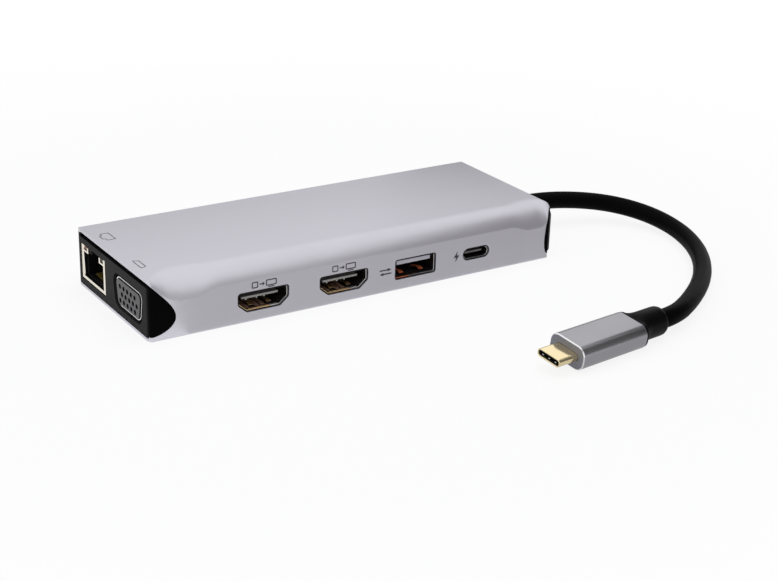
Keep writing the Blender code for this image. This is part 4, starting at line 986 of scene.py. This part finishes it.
# gap beside, drop, thickness and setback in millimetres, contacts and their pitch, and the finish
TONGUES = {"video": (1.67, 1.62, 0.6, 1.9, 10, 1.0, GREY_TONGUE),
           "data": (0.75, 0.4, 1.15, 0.9, 4, 2.5, PALE_TONGUE),
           "power": (1.18, 1.08, 0.5, 1.2, 12, 0.5, DIM_TONGUE)}
STEM, STEM_ROUND, STRIP_HEIGHT, STRIP_DROP = mm(3, 0.15, 0.15, 0.08)
STEM_GAP, STRIP_SHARE, STRIP_LIMIT = 0.2, 0.5, 0.9
for name, (kind, socket, corners, x, z, radius, mouth, back) in PORTS.items():
    beside, drop, thick, setback, count, pitch, tint = TONGUES[kind]
    sheet = SLEEVES[kind][0]
    half_width = max(u for u, _ in corners) - (sheet + beside) * MM
    tongue_top = z + max(v for _, v in corners) - (sheet + drop) * MM
    under = tongue_top - thick * MM
    tongue = slab(between(x - half_width, under, x + half_width, tongue_top), "Y",
                  mouth + setback * MM, back - STEM / 2)
    inset = (sheet + STEM_GAP) * MM
    stem = slab(at(grown(corners, -inset), x, z), "Y", back - STEM, back + MM,
                max(radius - inset, STEM_ROUND), 6)
    tongue = carve(tongue, stem, "UNION")
    paint(tongue, lambda middle: middle.y > back - STEM - 0.1 * MM)
    low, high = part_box(f"{socket}_insulator")
    foot = slab(between(low.x, low.z, high.x, z), "Y", back + FIT, high.y)
    tongue = carve(tongue, foot, "UNION")
    piece(f"{name}_tongue", tongue, [tint, STEM_BLACK], [f"{socket}_insulator"],
          soften=0.06 * MM)
    strips = []
    width = min(pitch * STRIP_SHARE, STRIP_LIMIT) * MM
    for i in range(count):
        u = x + (i - (count - 1) / 2) * pitch * MM
        strips.append(slab(oblong(width, STRIP_HEIGHT, u, under - STRIP_DROP), "Y",
                           mouth + (setback + 0.3) * MM, back - STEM - 0.2 * MM))
    piece(f"{name}_contacts", joined(*strips), [GOLD], [])

# %% Leaf springs, ribs, contact noses and ramps
SPRING = [(6.5, 0.0), (2.9, 0.62), (1.9, 0.3), (1.85, 0.46), (2.8, 0.8), (6.5, 0.16)]
RAMP = [(0.04, 0.0), (0.4, 0.0), (0.4, 0.2)]
RIB_PLACES, NOSE_PLACES, NOSE_RISE = (-4.4, -1.1, 0.6), (-4.3, -1.0, 1.4), -0.1 * MM
WARM_GLOW_RAMP, STEEL_RAMP = mm(-4.6, 1.9), mm(1.95, 4.6)
DARK_BRONZE = finish("dark_bronze", (0.36, 0.22, 0.16), (0.13, 0.07, 0.05), 0.3, 0.42, 0.2, 0.06,
                     cloud_mm=1.5)
for name, reach, width in (("video_1", 2.8, 1.5), ("video_2", 2.8, 1.5), ("data", 3.4, 1.45)):
    kind, _, corners, x, z, _, mouth, _ = PORTS[name]
    sheet, _, _, warm = SLEEVES[kind]
    floor = z + min(v for _, v in corners) + sheet * MM
    leaves = [slab(in_mm(SPRING, mouth, floor), "X", u - width * MM / 2, u + width * MM / 2)
              for u in (x + side * reach * MM for side in (-1, 1))]
    springs = joined(*leaves)
    if kind == "video":
        ribs = [slab(oblong(*mm(1.2, 0.2), x + u * MM, floor + 0.1 * MM), "Y",
                     mouth + 1.2 * MM, mouth + 7 * MM) for u in RIB_PLACES]
        noses = [slab(oblong(*mm(0.38, 0.28), x + u * MM, z + NOSE_RISE), "Y",
                      mouth + 1.95 * MM, mouth + 2.4 * MM) for u in NOSE_PLACES]
        # Painted warm reflection: the ramp's left part takes the warm metal, its right part the
        # bright cut edge.
        warm_glow_ramp, steel_ramp = (slab(in_mm(RAMP, mouth, floor), "X", x + start, x + stop)
                                 for start, stop in (WARM_GLOW_RAMP, STEEL_RAMP))
        springs = joined(springs, warm_glow_ramp)
        for index, part in enumerate((joined(*ribs), joined(*noses, steel_ramp)), 1):
            paint(part, lambda middle: index)
            springs = joined(springs, part)
    piece(f"{name}_springs", springs, [warm, DARK_BRONZE, CUT_EDGE], [],
          soften=0.04 * MM)

# %% [markdown]
# ## Marks beside the sockets
# Small printed signs tell the sockets apart. These are drawn for this lesson from plain shapes: a
# box and a screen, two arrows, a bolt, a jack and a trapezium. Ink has almost no thickness, so each
# sign is a very thin slab that sits on the metal.

# %% Printed signs
INK = finish("grey_ink", (0.05, 0.05, 0.056), (0.035, 0.035, 0.04), 0.5, 0.65, 0.1, 0.1)
INK_DEPTH = 0.02 * MM
ON_FRONT = ("Y", FRONT - INK_DEPTH, FRONT + INK_DEPTH)
ON_TOP = ("Z", HEIGHT - INK_DEPTH, HEIGHT + INK_DEPTH)
SENDING = [(-1.5, 0.03), (-0.5, 0.03), (-0.5, -0.4), (0.2, 0.2), (-0.5, 0.8), (-0.5, 0.37),
           (-1.5, 0.37)]
ARROW = [(-2.0, 0.4), (0.7, 0.4), (0.7, 0.05), (2.0, 0.6), (0.7, 1.15), (0.7, 0.8), (-2.0, 0.8)]
BOLT = [(0.35, 1.7), (-1.05, -0.25), (-0.15, -0.25), (-0.4, -1.7), (1.0, 0.35), (0.15, 0.35)]
JACK = [(-2.8, -1.7), (2.8, -1.7), (2.8, 1.0), (1.4, 1.0), (1.4, 1.8), (-1.4, 1.8), (-1.4, 1.0),
        (-2.8, 1.0)]
TRAPEZIUM = [(-2.4, -0.9), (2.4, -0.9), (3.1, 0.9), (-3.1, 0.9)]


def screen(x, z):
    """A box that sends its picture to a screen: box, arrow, screen and stand."""
    rings = [sleeve(oblong(*mm(width, 1.9), x + u * MM, z + 0.2 * MM), *ON_FRONT,
                    *mm(0.35, 0.34), 4) for width, u in ((2.0, -2.9), (3.4, 2.2))]
    stand = oblong(*mm(1.9, 0.3), x + 2.2 * MM, z - 1.05 * MM)
    return rings + [slab(shape, *ON_FRONT) for shape in (in_mm(SENDING, x, z), stand)]


signs = screen(*mm(-32.0, 10.3)) + screen(*mm(-6.4, 10.3))
back_arrow = [(-u, -v) for u, v in ARROW]
for shape, x, z in ((ARROW, 7.6, 6.3), (back_arrow, 7.6, 6.3), (BOLT, 32.5, 6.5)):
    signs.append(slab(in_mm(shape, *mm(x, z)), *ON_FRONT))
for shape, x, y in ((JACK, -62.6, 12.2), (TRAPEZIUM, -63.2, -11.4)):
    read_from_left = [(-v, -u) for u, v in shape]
    signs.append(sleeve(in_mm(read_from_left, *mm(x, y)), *ON_TOP, *mm(0.25, 0.26), 3))
sign_mesh = joined(*signs)
paint(sign_mesh, lambda middle: 0)
piece("printed_signs", sign_mesh, [INK])

# %% [markdown]
# ## The plug
# The plug is a short aluminium shell with a bright, diamond-cut rim round its front face. A gold
# plated tip comes out of it. It lies turned and slightly rolled on the table, so its pieces are
# drawn along X and then moved to their place as meshes.

# %% Housing of the plug
PLUG_PLACE = Vector((21.7, -90.4, 4.45)) * MM
PLUG_HEADING, PLUG_ROLL = math.radians(7), math.radians(7)
PLUG_OUTLINE = oblong(*mm(12.6, 7.0))
PLUG_LENGTH, PLUG_ROUND, PLUG_SHEET, PLATE_INSET, RIM_CUT = mm(24.2, 2.8, 1.0, 0.6, 0.28)
RIM_SIDE, RIM_RISE, RIM_REACH = mm(3.5, 0.7, 2.79)
PLUG_ALUMINIUM = finish("plug_aluminium", (0.42, 0.415, 0.445), (0.39, 0.385, 0.415), 0.3, 0.38,
                        0.1, 0.04, 1.0, 9)
PLUG_FRONT = finish("plug_front", (0.27, 0.275, 0.32), (0.24, 0.245, 0.285), 0.5, 0.6,
                    0.1, 0.04, 0.6, 9)
plug_frame = (Matrix.Translation(PLUG_PLACE) @ Matrix.Rotation(PLUG_HEADING, 4, "Z")
              @ Matrix.Rotation(PLUG_ROLL, 4, "X"))


def laid(bm):
    """A piece of the plug, moved to where the plug lies."""
    bmesh.ops.transform(bm, verts=bm.verts, matrix=plug_frame)
    return bm


def on_rim(place):
    """Whether a point lies on the outer edge of the plug's front."""
    beside, above = max(abs(place.y) - RIM_SIDE, 0), max(abs(place.z) - RIM_RISE, 0)
    return abs(place.x) < TOUCH and beside ** 2 + above ** 2 > RIM_REACH ** 2


shell = sleeve(PLUG_OUTLINE, "X", 0.0, PLUG_LENGTH, PLUG_ROUND, PLUG_SHEET, 12)
plate = slab(grown(PLUG_OUTLINE, -PLATE_INSET), "X", *mm(0.0, 1.5, 2.2), 12)
shell = carve(shell, plate, "UNION")
shell = carve(shell, slab(oblong(*mm(8.35, 2.5)), "X", *mm(-1, 2, 1.2), 10))
bevelled(shell, [e for e in shell.edges if all(on_rim(v.co) for v in e.verts)], RIM_CUT, 1)
for face in shell.faces:
    depth, lean = face.calc_center_median().x, face.normal.x
    if 0.0 < depth < 0.34 * MM and 0.1 < abs(lean) < 0.95:
        face.material_index = 1
    elif lean < -0.99 and abs(depth) < 0.01 * MM:
        face.material_index = 2
plug = piece("plug_body", laid(shell), [PLUG_ALUMINIUM, CUT_EDGE, PLUG_FRONT], ["plug_housing"])

# %% Gold tip and its lining
tip = sleeve(oblong(*mm(8.25, 2.4)), "X", *mm(-6.65, 6.0, 1.15, 0.42), 10)
tip_piece = piece("plug_tip", laid(tip), [GOLD, GOLD], ["plug_shell"],
                  soften=0.16 * MM)
core = slab(oblong(*mm(7.3, 1.45)), "X", *mm(-6.4, 6.0, 0.68), 8)
core = carve(core, slab(oblong(*mm(6.5, 0.8)), "X", *mm(-8, -1.65, 0.2), 4))
lining = piece("plug_lining", laid(core), [SOCKET_BLACK_AND_SHADE], ["plug_insulator"],
               soften=0.05 * MM)
springs = [slab(oblong(*mm(0.5, 0.22, u, -0.22)), "X", *mm(-6.3, -2)) for u in (-2.3, 0.0, 2.3)]
spring_piece = piece("plug_springs", laid(joined(*springs)), [CUT_EDGE], [])

# %% [markdown]
# ## Strain relief and gland
# Soft black mouldings guide the cable into the plug and out of the housing. The relief runs from
# the plug's outline to a round collar, so its section is extruded step by step and each point then
# moves from one outline to the other. The gland is turned: a profile spun round the cable's line.

# %% Strain relief
SOFT_BLACK = finish("soft_black", *BLACKS, 0.38, 0.5, 0.3, 0.12, specular=0.08)
# share of the length, share of the way to the collar's circle, and scale
STAGES = (
    (0.0, 0.0, 1.0), (0.04, 0.02, 1.0), (0.06, 0.1, 1.0), (0.08, 0.24, 1.0), (0.11, 0.43, 1.0),
    (0.15, 0.6, 1.0), (0.2, 0.74, 1.0), (0.27, 0.87, 1.0), (0.34, 0.95, 1.0), (0.42, 1.0, 1.0),
    (0.86, 1.0, 1.0), (0.92, 1.0, 0.985), (0.965, 1.0, 0.94), (0.99, 1.0, 0.87), (1.0, 1.0, 0.827),
)
RELIEF_LENGTH, RELIEF_START, SEAT_INSET, SEAT_STEP = mm(11.2, 24.5, 0.08, 0.4)
COLLAR_MM = 4.2
blank = slab(grown(PLUG_OUTLINE, -SEAT_INSET), "X", *mm(0.0, 1, 2.72), 12)
seat_face = min(end_faces(blank, "X"), key=lambda f: f.calc_center_median().x)
corners = [(v.co.y, v.co.z) for v in seat_face.verts]
blank.free()
seat = []
for start, end in zip(corners, corners[1:] + corners[:1]):
    steps = max(round((Vector(end) - Vector(start)).length / SEAT_STEP), 1)
    seat += [tuple(Vector(start).lerp(Vector(end), i / steps)) for i in range(steps)]
stage_at = {share * RELIEF_LENGTH: (mix, scale) for share, mix, scale in STAGES}


def relief_place(x, i):
    """Where a point of the relief's section lies at a place along it."""
    mix, scale = stage_at[min(stage_at, key=lambda station: abs(station - x))]
    flat = Vector(seat[i])
    return flat.lerp(flat.normalized() * COLLAR_MM * MM, mix) * scale


relief = pressed(seat, list(stage_at), relief_place)
bmesh.ops.translate(relief, verts=relief.verts, vec=(RELIEF_START, 0, 0))
relief_piece = piece("plug_relief", laid(relief), [SOFT_BLACK], ["plug_strain_relief"],
                     smooth=45)

# %% Gland
FLANGE_SIDE = [(-1.5, 0.0), (-1.5, 5.0), (0.0, 5.0), (0.0, 3.7)]
COLLAR_SIDE = [(0.0, 3.7), (0.0, 4.1), (0.15, 4.2), (1.4, 4.2), (2.0, 4.1), (4.8, 3.3), (5.0, 3.1),
               (5.0, 0.0)]
outline = (in_mm(FLANGE_SIDE, HALF_LENGTH - CAP_PLATE - FIT)
           + in_mm(COLLAR_SIDE, HALF_LENGTH + FIT))
gland = bmesh.new()
profile = [gland.verts.new((x, 0.0, HEIGHT / 2 + r)) for x, r in outline]
profile_edges = [gland.edges.new(pair) for pair in zip(profile, profile[1:])]
bmesh.ops.spin(gland, geom=profile + profile_edges, cent=(0, 0, HEIGHT / 2), axis=(1, 0, 0),
               angle=math.tau, steps=48, use_merge=True)
bmesh.ops.remove_doubles(gland, verts=gland.verts, dist=WELD)
bmesh.ops.recalc_face_normals(gland, faces=gland.faces)
piece("cable_collar", gland, [SOFT_BLACK], ["cable_gland"], smooth=35)

# %% [markdown]
# ## What is inside
# The board and its parts don't show, but every solid gets its own finish: green lacquer over a
# weave, moulded resin, sintered ferrite and bright cans.

# %% Finishes for the inner parts
LACQUER = finish("board_lacquer", (0.01, 0.07, 0.03), (0.008, 0.05, 0.022), 0.25, 0.4, 0.4, 0.15,
                 stretch=(1, 0.2, 1))
RESIN = finish("chip_resin", (0.02, 0.02, 0.021), (0.014, 0.014, 0.015), 0.5, 0.65, 0.15, 0.2)
FERRITE = finish("grey_ferrite", (0.09, 0.09, 0.09), (0.06, 0.06, 0.06), 0.6, 0.8, 0.2, 0.3)
CAN = finish("bright_can", (0.75, 0.75, 0.76), (0.68, 0.68, 0.7), 0.2, 0.32, 0.2, 0.04, 1.0, 3,
             (1, 1, 0.1))
INSIDE = {"main_board": LACQUER, "plug_card": LACQUER, "wire_bundle": CABLE_JACKET, "crystal": CAN}
for name in frame["nodes"]:
    material = INSIDE.get(name)
    if name.endswith("_chip") or name == "ethernet_transformer":
        material = RESIN
    elif name.startswith("power_inductor"):
        material = FERRITE
    elif name.startswith("capacitor"):
        material = CAN
    if material:
        dress(name, material)
print("inner parts dressed")
